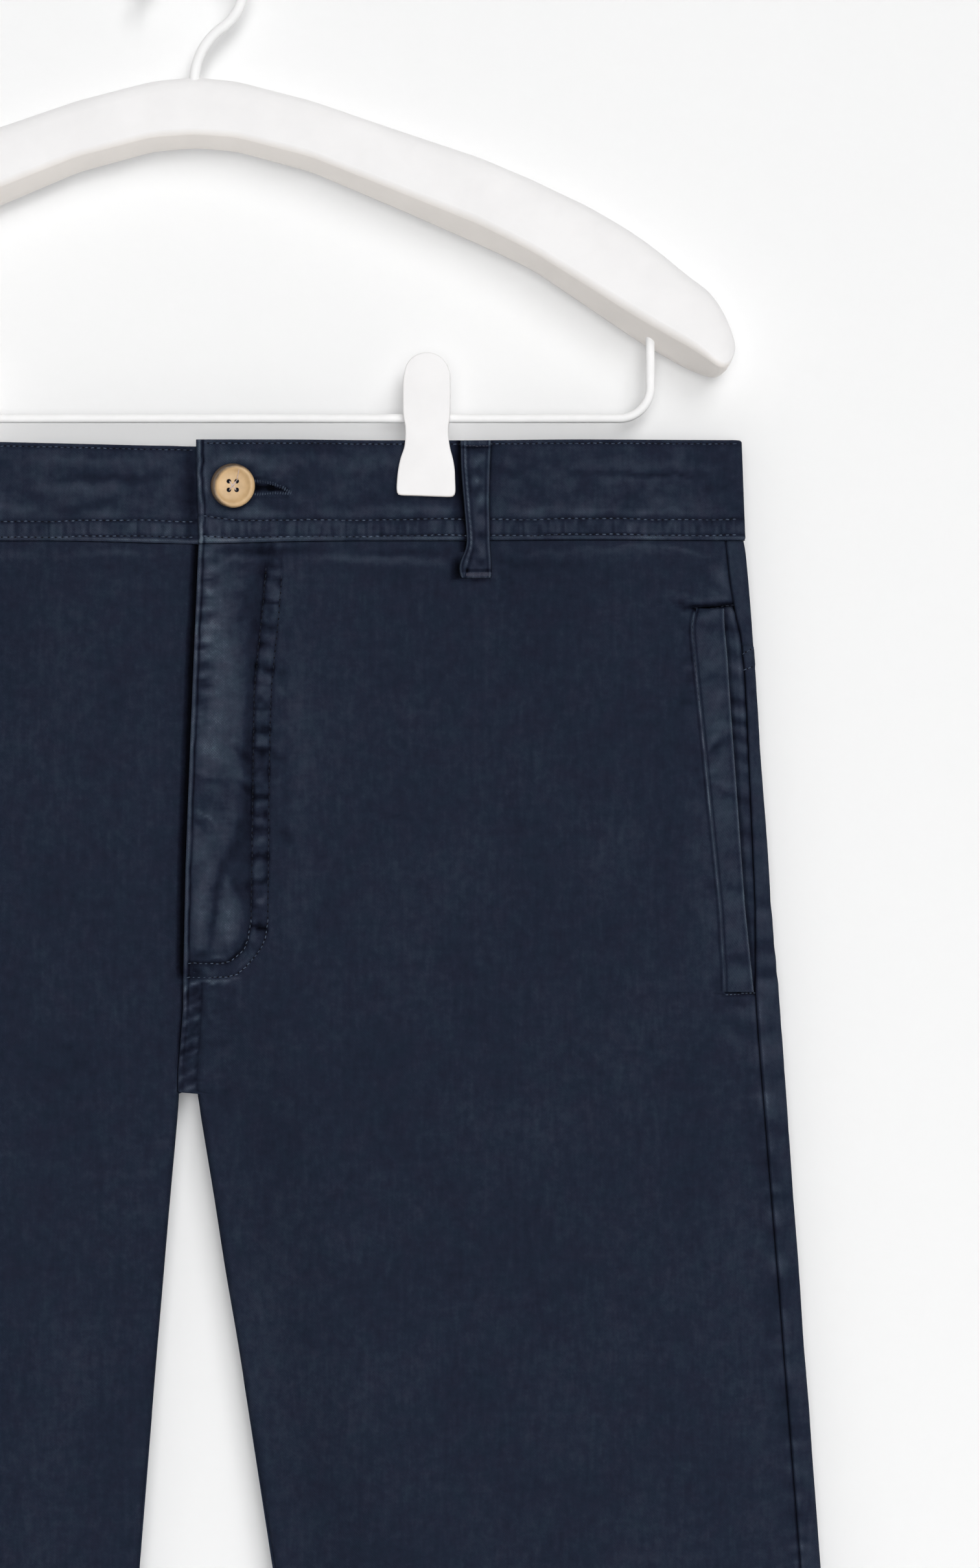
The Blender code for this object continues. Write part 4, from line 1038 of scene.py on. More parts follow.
def buildBack(word, side):
    name = f"back_{word}"
    relief = backRelief(side)
    columns = backColumns(spaced((30, 1.6), (170, 3.0), (205, 1.8)))
    yoke = cut["yokeSide"]
    rowDrop, rowLift = turnUp(yoke + spaced((134.5, 1.8), (170, 1.3), (171.9, 0.6)), nearHem=1.4)
    total = sum(len(part) for part in columns) + 1

    def lay(column, row):
        drop, lift = rowDrop[row], rowLift[row]
        near = np.where(
            drop > cut["crotch"] - 0.5, legInner(side, drop) + side * 0.011, seatLine(drop) + side * 0.1
        )
        x, face, run = layBack(side, column, drop, near, columns)
        fall = (yokeLine(x) - yoke) * (1 - smooth((drop - yoke) / 130))
        fall = np.where(face == back, fall, 0.0)
        drop = hemTilt(side, x, drop + fall)
        height, wearAndShade = relief(x, np.minimum(drop, cut["hem"]), face)
        inside = lift < -1.2
        return x, drop, face, np.where(inside, lift, height + lift), wearAndShade, run

    return strip(name, len(rowDrop), total, lay, cut["panelThick"]), relief


def buildYoke(word, side):
    name = f"yoke_{word}"
    relief = backRelief(side)
    columns = backColumns(spaced((30, 1.6), (170, 2.4), (205, 1.8)))
    rowDrop = cut["band"] + spaced((cut["yokeSide"] - cut["band"], 1.25))
    total = sum(len(part) for part in columns) + 1

    def lay(column, row):
        guess = rowDrop[row]
        x, face, run = layBack(side, column, guess, seatLine(guess) + side * 0.1, columns)
        top = bandBottom(np.where(face == front, x, 200.0), face) + 0.15
        bottom = np.where(face == back, yokeLine(x), cut["yokeSide"]) - 0.02
        drop = top + (bottom - top) * (guess - cut["band"]) / (cut["yokeSide"] - cut["band"])
        height, wearAndShade = relief(x, drop, face)
        return x, drop, face, height, wearAndShade, run

    return strip(name, len(rowDrop), total, lay, cut["panelThick"]), relief


# The waistband: how far it stands out, its thickness, its top fold and its rows of stitches.
band = {
    "proud": 0.8, "thick": 2.2, "top": 1.1, "rows": (30.7, 36.8), "topRow": 1.55, "side": 211.7,
    "fall": 2.5, "sink": 2.5,
    "bends": [(-1.3, -1.2, -0.2, 0.6, 0.9, 0.2, -0.1, 0.0), (0.4, 0.4, 0.9, 1.2, 1.2, 0.5, 0.0, 0.0)],
}
buttonPlace = {"x": 15.35, "drop": 18.0}
slit = {
    "upper": [(23.8, 16.1), (28, 16.6), (32, 17.7), (36.8, 20.2)],
    "lower": [(23.8, 21.2), (28, 21.1), (32, 20.7), (36.4, 20.9)],
}

# Creases on the waistband: start, end, half width, height, tone; a trough's darker tone is painted shade,
# a ridge's paler tone is wear and painted highlight.
leftBandMarks = [
    (6, 8.6, 30, 7.0, 2.0, 0.18, 0.35), (22, 9.5, 40, 12, 2.2, 0.1, 0.25),
    (5, 12, 8, 27, 1.6, 0.12, 0.35), (9, 28.6, 30, 28.2, 1.6, 0.12, 0.3),
    (4, 26, 4.8, 33, 1.2, 0.12, 0.3), (24, 24, 38, 26, 2.2, -0.1, -0.12),
    (40, 7, 78, 9, 3.0, 0.12, 0.12), (44, 15, 78, 17, 3.0, -0.12, -0.1),
    (62, 26, 104, 26.6, 1.8, 0.12, 0.28), (20, 4.4, 60, 4.6, 1.6, -0.1, -0.2),
    (120, 6.5, 124, 13, 2.0, 0.12, 0.2), (118, 11, 132, 18, 1.8, -0.15, -0.12),
    (134, 10.2, 208, 10.4, 1.8, 0.1, 0.15), (144, 12.2, 170, 13.4, 0.7, -0.1, -0.25),
    (166, 13.2, 188, 13.5, 0.6, -0.12, -0.32), (186, 13.5, 193, 15.2, 0.6, -0.08, -0.2),
    (150, 15.4, 190, 15.6, 1.0, 0.1, 0.12), (126, 20.5, 186, 22, 2.2, -0.06, -0.05),
    (150, 25.6, 208, 24, 2.4, 0.1, 0.1), (118, 27, 150, 27.5, 1.6, 0.1, 0.2),
    (190, 18, 209, 18.6, 1.4, -0.05, -0.06), (100, 4, 101.5, 34, 1.6, -0.15, -0.35),
    (140, 28.4, 205, 27.6, 1.2, 0.08, 0.22), (12, 36.6, 32, 35.2, 1.4, -0.1, -0.1),
    (46, 34, 60, 34.2, 1.6, 0.1, -0.1),
]
# The right band's creases, in the same columns; the first stroke is a painted shadow cast by the left
# band's end that laps over it.
rightBandMarks = [
    (-1.2, 4, -1.4, 36, 3.4, 0.0, -0.6), (-12, 9, -70, 7.6, 2.0, 0.15, 0.22),
    (-14, 14.5, -52, 15.6, 1.4, -0.15, -0.3), (-20, 19.5, -60, 19, 2.0, 0.12, 0.2),
    (-30, 24.4, -52, 26, 1.6, -0.12, -0.2), (-60, 26, -104, 26.6, 1.8, 0.12, 0.25),
    (-134, 10.5, -208, 10.4, 1.8, 0.15, 0.22), (-150, 14, -196, 13, 1.0, -0.15, -0.3),
    (-126, 20.5, -186, 22, 2.2, -0.12, -0.15), (-150, 25.6, -208, 24, 2.4, 0.1, 0.15),
    (-100, 4, -101.5, 34, 1.6, -0.15, -0.3),
]


def bandRow(side, which, x, onFront=True):
    # drop of one of the twin rows: they wander, and dip near the centre front
    base = band["rows"][which]
    near = np.abs(x)
    bend = 0.65 + 0 * near
    if side == left:
        bend = np.interp(near, (2, 5, 12, 20, 27, 50, 85, 210), band["bends"][which])
    wander = ripple(x, (61, 0.2, 0.2), (23, 0.12, 0.6)) + 0.12 * mottle(x, 0 * x, 9, 24 + which)
    return base + (bend + wander) * onFront


def bandTilt(side, x, face=front):
    # the top edge runs down towards the centre, all but the lap on top
    if side == right:
        return band["fall"] * smooth((x + 110) / 110)
    return band["fall"] * smooth((40 - x) / 40) * (face == back)


def bandRelief(side):
    marks = leftBandMarks if side == left else rightBandMarks

    def relief(x, drop, face=front):
        onFront = 1.0 * (face == front)
        total = strokes(x, drop, marks) * 1.7 * onFront
        faded = 0.17 - 0.13 * smooth((x - 22) / 24)
        total[1] += faded * onFront + 0.16 * mottle(x, drop, 9, 26, 0.6)
        total += marked(0.04, 0.14, mottle(x, drop, 3.2, 27, 0.8))
        bottom = bandBottom(x, face)
        upper, lower = bandRow(side, 0, x, onFront), bandRow(side, 1, x, onFront)
        # the stitched rows and the top row sink with painted shade
        for spot in (upper, lower):
            total += marked(-0.22, -0.6, bell((drop - spot) / 0.62))
        total += marked(-0.15, -0.45, bell((drop - bandTilt(side, x, face) - band["topRow"]) / 0.7))
        # puckers between the twin rows, paler where raised and darker where sunk, as painted light and
        # shade
        puckers = ripple(x + 0.1 * drop, (5.7, 0.15, 0.2), (9.1, 0.15, 0.65))
        puckers = puckers + 1.1 * mottle(x, drop, 0.95, 28, 5)
        between = smooth((drop - upper + 0.4) / 1.2) * smooth((lower - drop + 0.4) / 1.2)
        total += marked(0.22 + 0.14 * puckers, 0.13 + 0.36 * puckers, between)
        edge = bottom - drop
        ridge = bell((edge - 0.8) / 0.7)
        lit = 0.6 + 0.3 * bell((x - 25) / 40) + 0.3 * mottle(x, 0 * x, 7, 29)
        total += marked(0.2, 1.55 * lit, ridge)
        # painted shade along the band's bottom edge
        total[1] -= 0.3 * bell((edge - 0.1) / 0.25)
        total[1] += 0.3 * bell((drop - 0.2) / 0.9)
        total += marked(0.06, 0.22, bell((drop - upper + 2.6) / 1.4) * (0.7 + mottle(x, drop, 11, 30)))
        total[1] -= loopShade(x, drop, face)
        if side == left:
            # the lap end: a lip paler by wear and painted highlight, painted shade in the groove behind
            # it, and a pale line along its foot
            inEnd = smooth((6 - x) / 2) * onFront
            wave = 0.6 * mottle(0 * x, drop, 6, 31) + 0.35 * mottle(0 * x, drop, 2.5, 32)
            end = x - 1.0 - 1.1 * drop / 39
            lip = bell((end - 1.1 + wave) / 0.6) * inEnd * (1 + 0.6 * mottle(0 * x, drop, 4, 37))
            total += marked(0.1, 1.1, lip)
            total += marked(-0.3, -1.4, bell((end - 2.3 + wave) / 0.5) * inEnd)
            total[1] += 0.4 * bell((end - 3.6 + wave) / 0.7) * inEnd
            foot = bell((drop - 37.9 - 0.02 * x) / 0.55) * smooth((20 - x) / 7)
            total += marked(-0.1, 1.3, foot * smooth((x - 2.6) / 0.8) * onFront)
            # the button draws the cloth down, with a ring of painted shadow round it, and the slit opens
            # a little, its opening painted dark as shade
            ring = np.hypot(x - buttonPlace["x"], drop - buttonPlace["drop"])
            total += np.array([-0.25 * bell(ring / 7), -0.5 * bell((ring - 8.4) / 1.6)]) * onFront
            for wide, path in ((1.15, [(23, 18.6), (30, 18.6)]), (0.75, [(29, 18.6), (35.6, 19.6)])):
                total += groove(x, drop, path, wide, -0.9, -1.9) * onFront
            # the slit's stitched edges, with painted shade beside them
            for row, shift in (("upper", 1.2), ("lower", -1.2)):
                total += groove(x, drop, slit[row], 0.8, 0.25, -0.1) * onFront
                total += groove(x, drop + shift, slit[row], 0.6, -0.1, -0.45) * onFront
        return total
    return relief


def buildBand(word, side):
    name = f"waistband_{word}"
    relief = bandRelief(side)
    start = 1.0 if side == left else 30.0
    fold = cut["foldRadius"]
    width = side * (band["side"] - fold) - start
    fineEnd = [0.0, 0.1, 0.3, 0.6, 1.0, 1.5]
    onFront = np.array([*fineEnd, *(1.5 + spaced((206 if side == left else 236, 0.62))[1:])])
    frontX = start + width * onFront / onFront[-1]
    roundFront = foldSteps[-2::-1]
    roundBack = foldSteps[1:]
    onBack = spaced((205, 1.9), (208.5, 0.9))
    first = len(frontX)
    second = first + len(roundFront)
    third = second + len(roundBack)
    # once round the band: up inside, over the top fold, down outside and back under
    top, half = band["top"], band["thick"] / 2
    turn = np.radians(np.arange(22.5, 180, 22.5))
    inside, outside, over = 7, 37, np.zeros(len(turn))
    ringShare = [*np.linspace(1, 0.06, inside), *over, *np.linspace(0.0, 1.0, outside), 1.0, 1.0, 1.0]
    ringShare = np.array(ringShare)
    ringTurn = np.array([*np.zeros(inside), *turn, *np.full(outside + 2, np.pi), 0.0])
    ringDown = np.array([*np.full(inside, -0.1), *over, *np.zeros(outside + 2), -0.1])
    bottomLift = {len(ringShare) - 3: -0.25, len(ringShare) - 2: -1.0}

    def lay(column, row):
        share, angle = ringShare[row], ringTurn[row]
        edge = across(side, outline, "outer", cut["band"] * share)
        begin = start + (1.1 * share if side == left else 0.0)
        stretch = (edge - side * fold - begin) / width
        x = begin + (pick(frontX, column) - start) * stretch
        x = np.where(column >= first, edge - side * pick(roundFront, column - first), x)
        x = np.where(column >= second, edge - side * pick(roundBack, column - second), x)
        backShare = pick(onBack, column - third) / onBack[-1]
        x = np.where(column >= third, (edge - side * fold) * (1 - backShare) + side * 0.05 * backShare, x)
        face = np.where(column < second, front, back)
        bottom = bandBottom(np.where(face == front, x, 200.0), face)
        tilt = bandTilt(side, x, face)
        foldDrop = tilt + top * (1 - np.sin(angle))
        inFold = (angle > 0) & (angle < np.pi)
        drop = np.where(inFold, foldDrop, tilt + top + (bottom - tilt - top) * share)
        drop = drop + ringDown[row] * (share > 0.99)
        outer = relief(x, drop, face)
        eased = 1 - 0.5 * bell((bottom - drop) / 0.5)
        lift = band["proud"] - half - half * np.cos(angle) * np.where(angle > 3.1, eased, 1.0)
        for index, value in bottomLift.items():
            lift = np.where(row == index, band["proud"] + value, lift)
        nearFold = smooth((np.abs(edge) - np.abs(x) - 0.5) / 4)
        lift = lift + np.where(angle > 3.1, outer[0] * nearFold, 0.0)
        if side == left:
            rounding = 1 - roundedEdge(np.abs(x - begin), half)
            middle = band["proud"] - half
            lift = np.where(face == front, middle + (lift - band["proud"] + half) * rounding, lift)
        else:
            sunk = band["sink"] * smooth((x + 10) / 8.5)
            lift = lift - np.where(face == front, sunk, 0.0)
        wearAndShade = np.where(angle > 1.5, outer[1], 0.0)
        return x, drop, face, lift, wearAndShade, np.where(face == back, 2 * edge - x, x)

    data = grid(name, third + len(onBack), len(ringShare), lay)
    mesh = bmesh.new()
    mesh.from_mesh(data)
    rim = [vert for vert in mesh.verts if vert.is_boundary]
    bmesh.ops.remove_doubles(mesh, verts=rim, dist=0.00012)
    closeEnds(mesh)
    mesh.to_mesh(data)
    mesh.free()
    return place(data, "twill", navyTwill, name), relief


weltWide = 10.5
# Marks on a welt, in shares of its width and in drop; troughs are darker with painted shade and ridges
# paler with wear and painted highlight.
weltMarks = [
    (0.15, 121.6, 0.85, 114.6, 1.3, -0.3, -0.75), (0.3, 110, 0.95, 110.6, 1.8, 0.2, 0.45),
    (0.2, 117, 0.7, 113.6, 1.3, 0.2, 0.4), (0.3, 136.4, 0.95, 137.6, 1.3, -0.2, -0.4),
    (0.2, 132, 0.9, 133, 1.5, 0.12, 0.3), (0.1, 143, 0.9, 146, 3.0, 0.1, 0.25),
    (0.2, 172.6, 0.9, 172.8, 1.5, -0.15, -0.35), (0.1, 178, 0.9, 180, 3.0, 0.1, 0.22),
    (0.1, 199.6, 0.95, 201, 2.2, -0.25, -0.55), (0.1, 207.6, 0.8, 206, 2.2, 0.2, 0.3),
    (-0.1, 67.4, 0.3, 65.4, 1.1, -0.25, -0.8), (0.2, 65.0, 1.0, 64.6, 0.8, -0.2, -0.6),
    (0.05, 71, 0.9, 74, 2.6, -0.15, -0.3), (0.15, 66.6, 0.9, 66.8, 1.6, 0.25, 0.25),
    (0.1, 92.6, 0.9, 91, 2.0, -0.15, -0.35), (0.2, 87, 0.9, 86, 2.0, 0.15, 0.25),
    (0.3, 100, 0.9, 98, 2.0, 0.12, 0.2), (0.1, 160, 0.8, 158, 2.2, -0.1, -0.15),
    (0.0, 127.6, 0.5, 125, 1.4, 0.12, 0.3), (0.2, 190, 0.9, 192, 2.0, 0.15, 0.2),
]


def weltRelief(side):
    def relief(x, drop):
        start = across(side, pocket, "welt", drop)
        end = across(side, pocket, "mouth", drop)
        share = (x - start) / (end - start)
        wide = np.abs(end - start)
        marks = [(a * weltWide, b, c * weltWide, d, *rest) for a, b, c, d, *rest in weltMarks]
        total = strokes(share * weltWide, drop, marks)
        inner, outer = share * wide, (1 - share) * wide
        # the welt's edges are paler by wear and painted highlight, with painted shade just inside each
        dashes = 0.6 + 0.4 * ripple(drop, (2.6, 1, 0)) * smooth((100 - drop) / 10)
        total += marked(0.1, 0.3 * dashes, bell(inner / 0.35))
        total += marked(-0.25, -0.6, bell((inner - 0.7) / 0.4))
        total += marked(0.1, 0.85, bell((outer - 0.3) / 0.5))
        total[1] -= 0.22 * bell((outer - 1.5) / 0.7)
        return total + np.array([0.25, 0.3])[:, None]
    return relief


def buildWelt(word, side):
    relief = weltRelief(side)
    rowDrop = 64.9 + spaced((147.7, 0.9))
    share = spaced((0.12, 0.015), (0.94, 0.048), (1.0, 0.012))

    def lay(column, row):
        drop = rowDrop[row]
        start = across(side, pocket, "welt", drop)
        end = across(side, pocket, "mouth", drop)
        x = start + (end - start) * share[column]
        height, wearAndShade = relief(x, drop)
        beyond = np.abs(end - x)
        roll = 0.7 * roundedEdge(beyond, 0.8)
        inner = 0.2 * bell(np.abs(x - start) / 0.4)
        return x, drop, np.full(x.shape, front), height - roll - inner, wearAndShade, x + 0.3 * side * drop

    name = f"pocket_welt_{word}"
    return strip(name, len(rowDrop), len(share), lay, 1.1), relief


# Puckers across a facing: drop and strength.
facingPuckers = [
    (66.5, -0.5), (73.5, 1.0), (79, -0.4), (83.4, 0.5), (88, -0.7), (92, 0.3), (95.8, -0.3),
    (101.6, 1.1), (106, -0.5), (109.4, 1.0), (112.4, -0.5), (115.6, 0.8), (119, -0.5), (122.6, 0.6),
    (127, -0.5), (134, -0.4), (139.6, 0.8), (146, -0.3), (152, 0.5), (158, -0.4), (164, 0.5),
    (170, -0.4), (176, 0.4), (186, 0.4), (196, 0.3),
]


def facingRelief(side):
    def relief(x, drop):
        seam = np.abs(across(side, outline, "seam", drop)) - np.abs(x)
        total = np.zeros((2, *x.shape))
        # puckers darker where they sink and paler where they rise; painted shade in the seam and under
        # the welt's mouth, and a paler ridge beside the seam
        for spot, strength in facingPuckers:
            near = bell((drop + 0.25 * seam - spot) / 1.7)
            total += marked(-0.2 * strength, -0.6 * strength, near)
        total += marked(0.25, 0.4, bell((seam - 1.7) / 0.8) * smooth((130 - drop) / 30))
        total += marked(-0.5, -0.8, bell(np.maximum(seam, 0) / 0.6))
        mouth = np.abs(x) - np.abs(across(side, pocket, "mouth", drop))
        total[1] -= 0.6 * bell(np.maximum(mouth, 0) / 1.0)
        total[1] += 0.16
        return total
    return relief


def buildFacing(word, side):
    relief = facingRelief(side)
    rowDrop = 62.0 + spaced((153.5, 0.9))
    share = spaced((0.5, 0.25), (1.0, 0.05))

    def lay(column, row):
        drop = rowDrop[row]
        start = across(side, pocket, "mouth", drop) - side * 5
        end = across(side, outline, "seam", drop) - side * 0.1
        x = start + (end - start) * share[column]
        height, wearAndShade = relief(x, drop)
        beyond = np.abs(x) - np.abs(across(side, pocket, "mouth", drop))
        under = 1.55 - 1.1 * smooth((beyond - 0.2) / 1.5) * smooth((drop - 65.2) / 1.5)
        under = under + 0.7 * (1 - smooth((drop - 64.4) / 1.2))
        return x, drop, np.full(x.shape, front), height - under, wearAndShade, x

    name = f"pocket_facing_{word}"
    return strip(name, len(rowDrop), len(share), lay, 0.8), relief


# Marks on a belt loop, from its middle and in drop; troughs are darker with painted shade and ridges
# paler with wear and painted highlight.
loopMarks = [
    (-1, 7, 3, 9, 2.0, 0.15, 0.6), (-3, 12, 4, 11.4, 1.6, -0.15, -0.5),
    (-1, 15.4, 2, 16, 1.3, 0.12, 0.55), (-3, 19, 4, 18, 1.5, -0.12, -0.5),
    (-1, 22.4, 3, 23, 2.0, 0.15, 0.6), (-1, 28, 4, 27.4, 1.6, -0.12, -0.35),
    (0, 31.6, 4, 32, 1.6, 0.1, 0.4), (-1, 36.4, 4, 36, 1.6, -0.1, -0.35),
    (0, 41, 3, 42, 2.0, 0.12, 0.45), (-2, 46.4, 4, 46, 1.6, -0.12, -0.4),
    (-4, 3.8, 4, 4, 0.9, -0.12, -0.4),
]


def loopSink(centre, face, drop):
    # a loop follows the band's top edge where that runs down
    return bandTilt(left if centre > 0 else right, centre, face) * np.clip(1 - drop / 39, 0, 1)


def buildLoop(name, centre, face):
    turn = 1 if centre > 0 else -1

    def relief(x, drop):
        beside = turn * (x - centre)
        leftX, rightX = level(loopShape, "left", drop), level(loopShape, "right", drop)
        onBand = 1 - smooth((drop - 40.5) / 3.5)
        bridge = np.sin(np.pi * np.clip((drop - 3) / 46, 0, 1))
        total = strokes(beside, drop, loopMarks, 1.0) * 1.1
        total[0] += 1.5 + 0.8 * onBand + 0.7 * bridge
        # the rolled edges are paler by wear and painted highlight, with lines of painted shade beside
        # them; the folded ends are paler and the lines where they turn under take painted shade
        bow = beside - leftX
        rope = 1.9 + 0.8 * smooth((drop - 40) / 8)
        twist = 0.9 + 0.3 * ripple(drop - bow, (2.1, 1, 0.2)) + 0.35 * mottle(0 * x, drop, 4, 33)
        total += marked(0.25, 1.3, twist * bell((bow - rope) / 0.55) * smooth((50 - drop) / 3))
        total += marked(-0.25, -0.8, bell((bow - 1.15) / 0.35))
        total += marked(0.1, 0.6, bell((bow - 0.55) / 0.3))
        total[1] -= 0.5 * bell((bow - rope - 1.1) / 0.6)
        total += marked(0.05, 0.75, bell((rightX - beside - 0.55) / 0.42))
        total += marked(-0.12, -0.45, bell((rightX - beside - 1.5) / 0.4))
        inner = smooth((bow - rope - 0.6) / 0.8) * smooth((rightX - beside - 1.2) / 0.8)
        total += marked(0.08, 0.4, mottle(x, drop, 2.6, 34) * inner)
        total[1] += 0.12 * inner
        total += marked(-0.35, -0.9, bell((drop - 2.9) / 0.45))
        total += marked(-0.35, -1.2, bell((drop - 50.4) / 0.5) * smooth((bow - 2) / 1))
        ribs = ripple(beside, (1.3, 0.5, 0.1), (2.1, 0.4, 0.6))
        folded = smooth((2.3 - drop) / 0.5) + smooth((drop - 50.9) / 0.5)
        total += marked(0.1 * ribs, 0.42 + 0.25 * ribs, folded)
        total += groove(beside, drop, [(-3.4, 49.4), (-4.0, 53.4)], 0.45, -0.3, -1.1)
        return total

    rowDrop = 0.2 + spaced((0.8, 0.2), (52.4, 0.62), (53.2, 0.2))
    share = spaced((0.06, 0.015), (0.94, 0.045), (1.0, 0.015))

    def lay(column, row):
        drop = rowDrop[row]
        leftX, rightX = level(loopShape, "left", drop), level(loopShape, "right", drop)
        corner = roundedEdge(loopFoot - drop, 1.2)
        beside = leftX + corner + (rightX - leftX - 2 * corner) * share[column]
        x = centre + turn * beside
        height, wearAndShade = relief(x, drop)
        near = np.minimum(beside - leftX - corner, rightX - corner - beside)
        roll = roundedEdge(np.minimum(near, loopFoot - drop), 0.8)
        return x, drop + loopSink(centre, face, drop), np.full(x.shape, face), height - roll, wearAndShade, x

    return strip(name, len(rowDrop), len(share), lay, 1.1), relief


pieces, reliefs = {}, {}
for word, side in sides.items():
    for part, build in (
        ("front", buildFront), ("back", buildBack), ("yoke", buildYoke), ("waistband", buildBand),
        ("pocket_welt", buildWelt), ("pocket_facing", buildFacing),
    ):
        pieces[f"{part}_{word}"], reliefs[f"{part}_{word}"] = build(word, side)
loops = {
    "belt_loop_front_left": (loopX["front"], front), "belt_loop_front_right": (-loopX["front"], front),
    "belt_loop_back_left": (loopX["back"], back), "belt_loop_back_right": (-loopX["back"], back),
    "belt_loop_back_centre": (0.0, back),
}
for name, (centre, face) in loops.items():
    pieces[name], reliefs[name] = buildLoop(name, centre, face)
print("cloth cut and laid")


def mirrored(side, *path):
    # a path given for the wearer's left, on either side
    return [(side * x, drop) for x, drop in path]


def hemLine(side, first, last):
    shift = cut["splay"] if side == right else 0
    return [(side * (x - shift), cut["hemRow"]) for x in np.linspace(first, last, 9)]


def sewFront(word, side):
    at = surfaceOf(front, reliefs[f"front_{word}"], 0.08)
    dark = Sewing(f"dark_stitches_front_{word}", at)
    pale = Sewing(f"stitches_front_{word}", at)
    if side == left:
        for row in ("outer", "inner"):
            path = flyStitch[row][1:]
            dark.dashes([spot for spot in path if spot[1] < 186], 2.5, 1.6, 0.2, 0.14)
            pale.dashes([spot for spot in path if spot[1] > 184], 2.1, 1.35, 0.21, 0.15)
    pocketTop = mirrored(side, (193.4, 64.7), (200, 64.8), (207.4, 63.5))
    besideWelt = mirrored(side, (191.7, 70), (192.4, 82), (194.2, 100))
    pocketFoot = mirrored(side, (205.2, 213.5), (210, 213.3), (215.8, 213.0))
    dark.dashes(pocketTop, 2.0, 1.4, 0.2, 0.14, holes=False)
    dark.dashes(besideWelt, 2.1, 1.2, 0.15, 0.12, holes=False)
    pale.dashes(pocketFoot, 1.5, 1.2, 0.17, 0.12)
    pale.dashes(hemLine(side, 46, 231), 3.0, 2.1)
    return [dark.make(darkThread), pale.make()]


def sewBand(word, side):
    relief = reliefs[f"waistband_{word}"]
    sunk = band["sink"] if side == right else 0.0

    def outer(x, drop):
        return relief(x, drop) + np.array([band["proud"] - sunk * smooth((x + 10) / 8.5), 0 * x])

    def outerBack(x, drop):
        return relief(x, drop, back) + np.array([band["proud"] + 0 * x, 0 * x])

    sewing = Sewing(f"stitches_waistband_{word}", surfaceOf(front, outer, 0.12))
    xs = np.linspace(4.6 if side == left else -1.0, side * 208, 60)
    for which in (0, 1):
        rows = bandRow(side, which, xs)
        sewing.dashes(list(zip(xs, rows)), 2.65, 1.4, 0.27, 0.18, wander=0.07)
    sewing.dashes(list(zip(xs, band["topRow"] + bandTilt(side, xs))), 2.35, 1.3, 0.2, 0.14)
    if side == left:
        rope = Sewing("stitches_buttonhole", surfaceOf(front, outer, 0.12))
        rope.bars(slit["upper"], 1.0, 1.3, 0.32, 0.24, 0.25)
        rope.bars(slit["lower"], 1.0, 1.15, 0.32, 0.24, -0.25)
        rope.bars([(34.6, 18.6), (37.4, 20.7)], 0.8, 1.5, 0.32, 0.28, 0.3)
    made = [sewing.make()] + ([rope.make(ropeThread)] if side == left else [])
    sewing = Sewing(f"stitches_waistband_back_{word}", surfaceOf(back, outerBack, 0.08))
    xs = np.linspace(side * 1.5, side * 207, 30)
    for spot in band["rows"]:
        sewing.dashes([(x, spot) for x in xs], 2.9, 1.8, 0.21, 0.15, holes=False)
    topRow = list(zip(xs, band["topRow"] + bandTilt(side, xs, back)))
    sewing.dashes(topRow, 2.6, 1.4, 0.2, 0.14, holes=False)
    return [*made, sewing.make()]


def sewBack(word, side):
    relief = reliefs[f"back_{word}"]
    sewing = Sewing(f"stitches_back_{word}", surfaceOf(back, relief, 0.08))
    xs = np.linspace(side * 9.5 if side == left else side * 1.5, side * 211.5, 30)
    for gap in (1.4, 7.6):
        sewing.dashes([(x, yokeLine(x) + gap) for x in xs], 2.9, 1.8, 0.21, 0.15, holes=False)
    if side == left:
        for gap in (1.4, 7.6):
            path = [(seatLine(drop) + gap, drop) for drop in np.linspace(114, 248, 12)]
            sewing.dashes(path, 2.9, 1.8, 0.21, 0.15, holes=False)
    sewing.dashes(hemLine(side, 40, 234), 3.0, 2.1, holes=False)
    wrapped = Sewing(
        f"stitches_side_{word}", surfaceOf(front, lambda x, drop: relief(x, drop, front), 0.08)
    )
    for ends in (((211.6, 82.2), (215.2, 80.2)), ((212.2, 88.4), (215.6, 87.2))):
        wrapped.dashes(mirrored(side, *ends), 2.0, 1.5, 0.22, 0.16)
    return [sewing.make(), wrapped.make()]


def sewLoop(name, centre, face):
    turn = 1 if centre > 0 else -1
    sewing = Sewing(f"stitches_{name}", surfaceOf(face, reliefs[name], 0.06))
    top = 2.3 + loopSink(centre, face, 2.3)
    path = [(centre - turn * 3.6, top), (centre + turn * 4.4, top + 0.1)]
    sewing.dashes(path, 1.25, 1.2, 0.15, 0.12, holes=False, wander=0.05)
    sewing.bars([(centre - turn * 3.6, 52.0), (centre + turn * 5.2, 51.8)], 0.5, 1.7, 0.17, 0.12, 0.05)
    return sewing.make(tackThread)


ropeThread = threadFinish("buttonhole_thread", (0.052, 0.070, 0.106), (0.012, 0.017, 0.030))
tackThread = threadFinish("tack_thread", (0.085, 0.083, 0.112), (0.030, 0.032, 0.052))
for word, side in sides.items():
    sewFront(word, side)
    sewBand(word, side)
    sewBack(word, side)
for name, (centre, face) in loops.items():
    sewLoop(name, centre, face)
print("sewn")


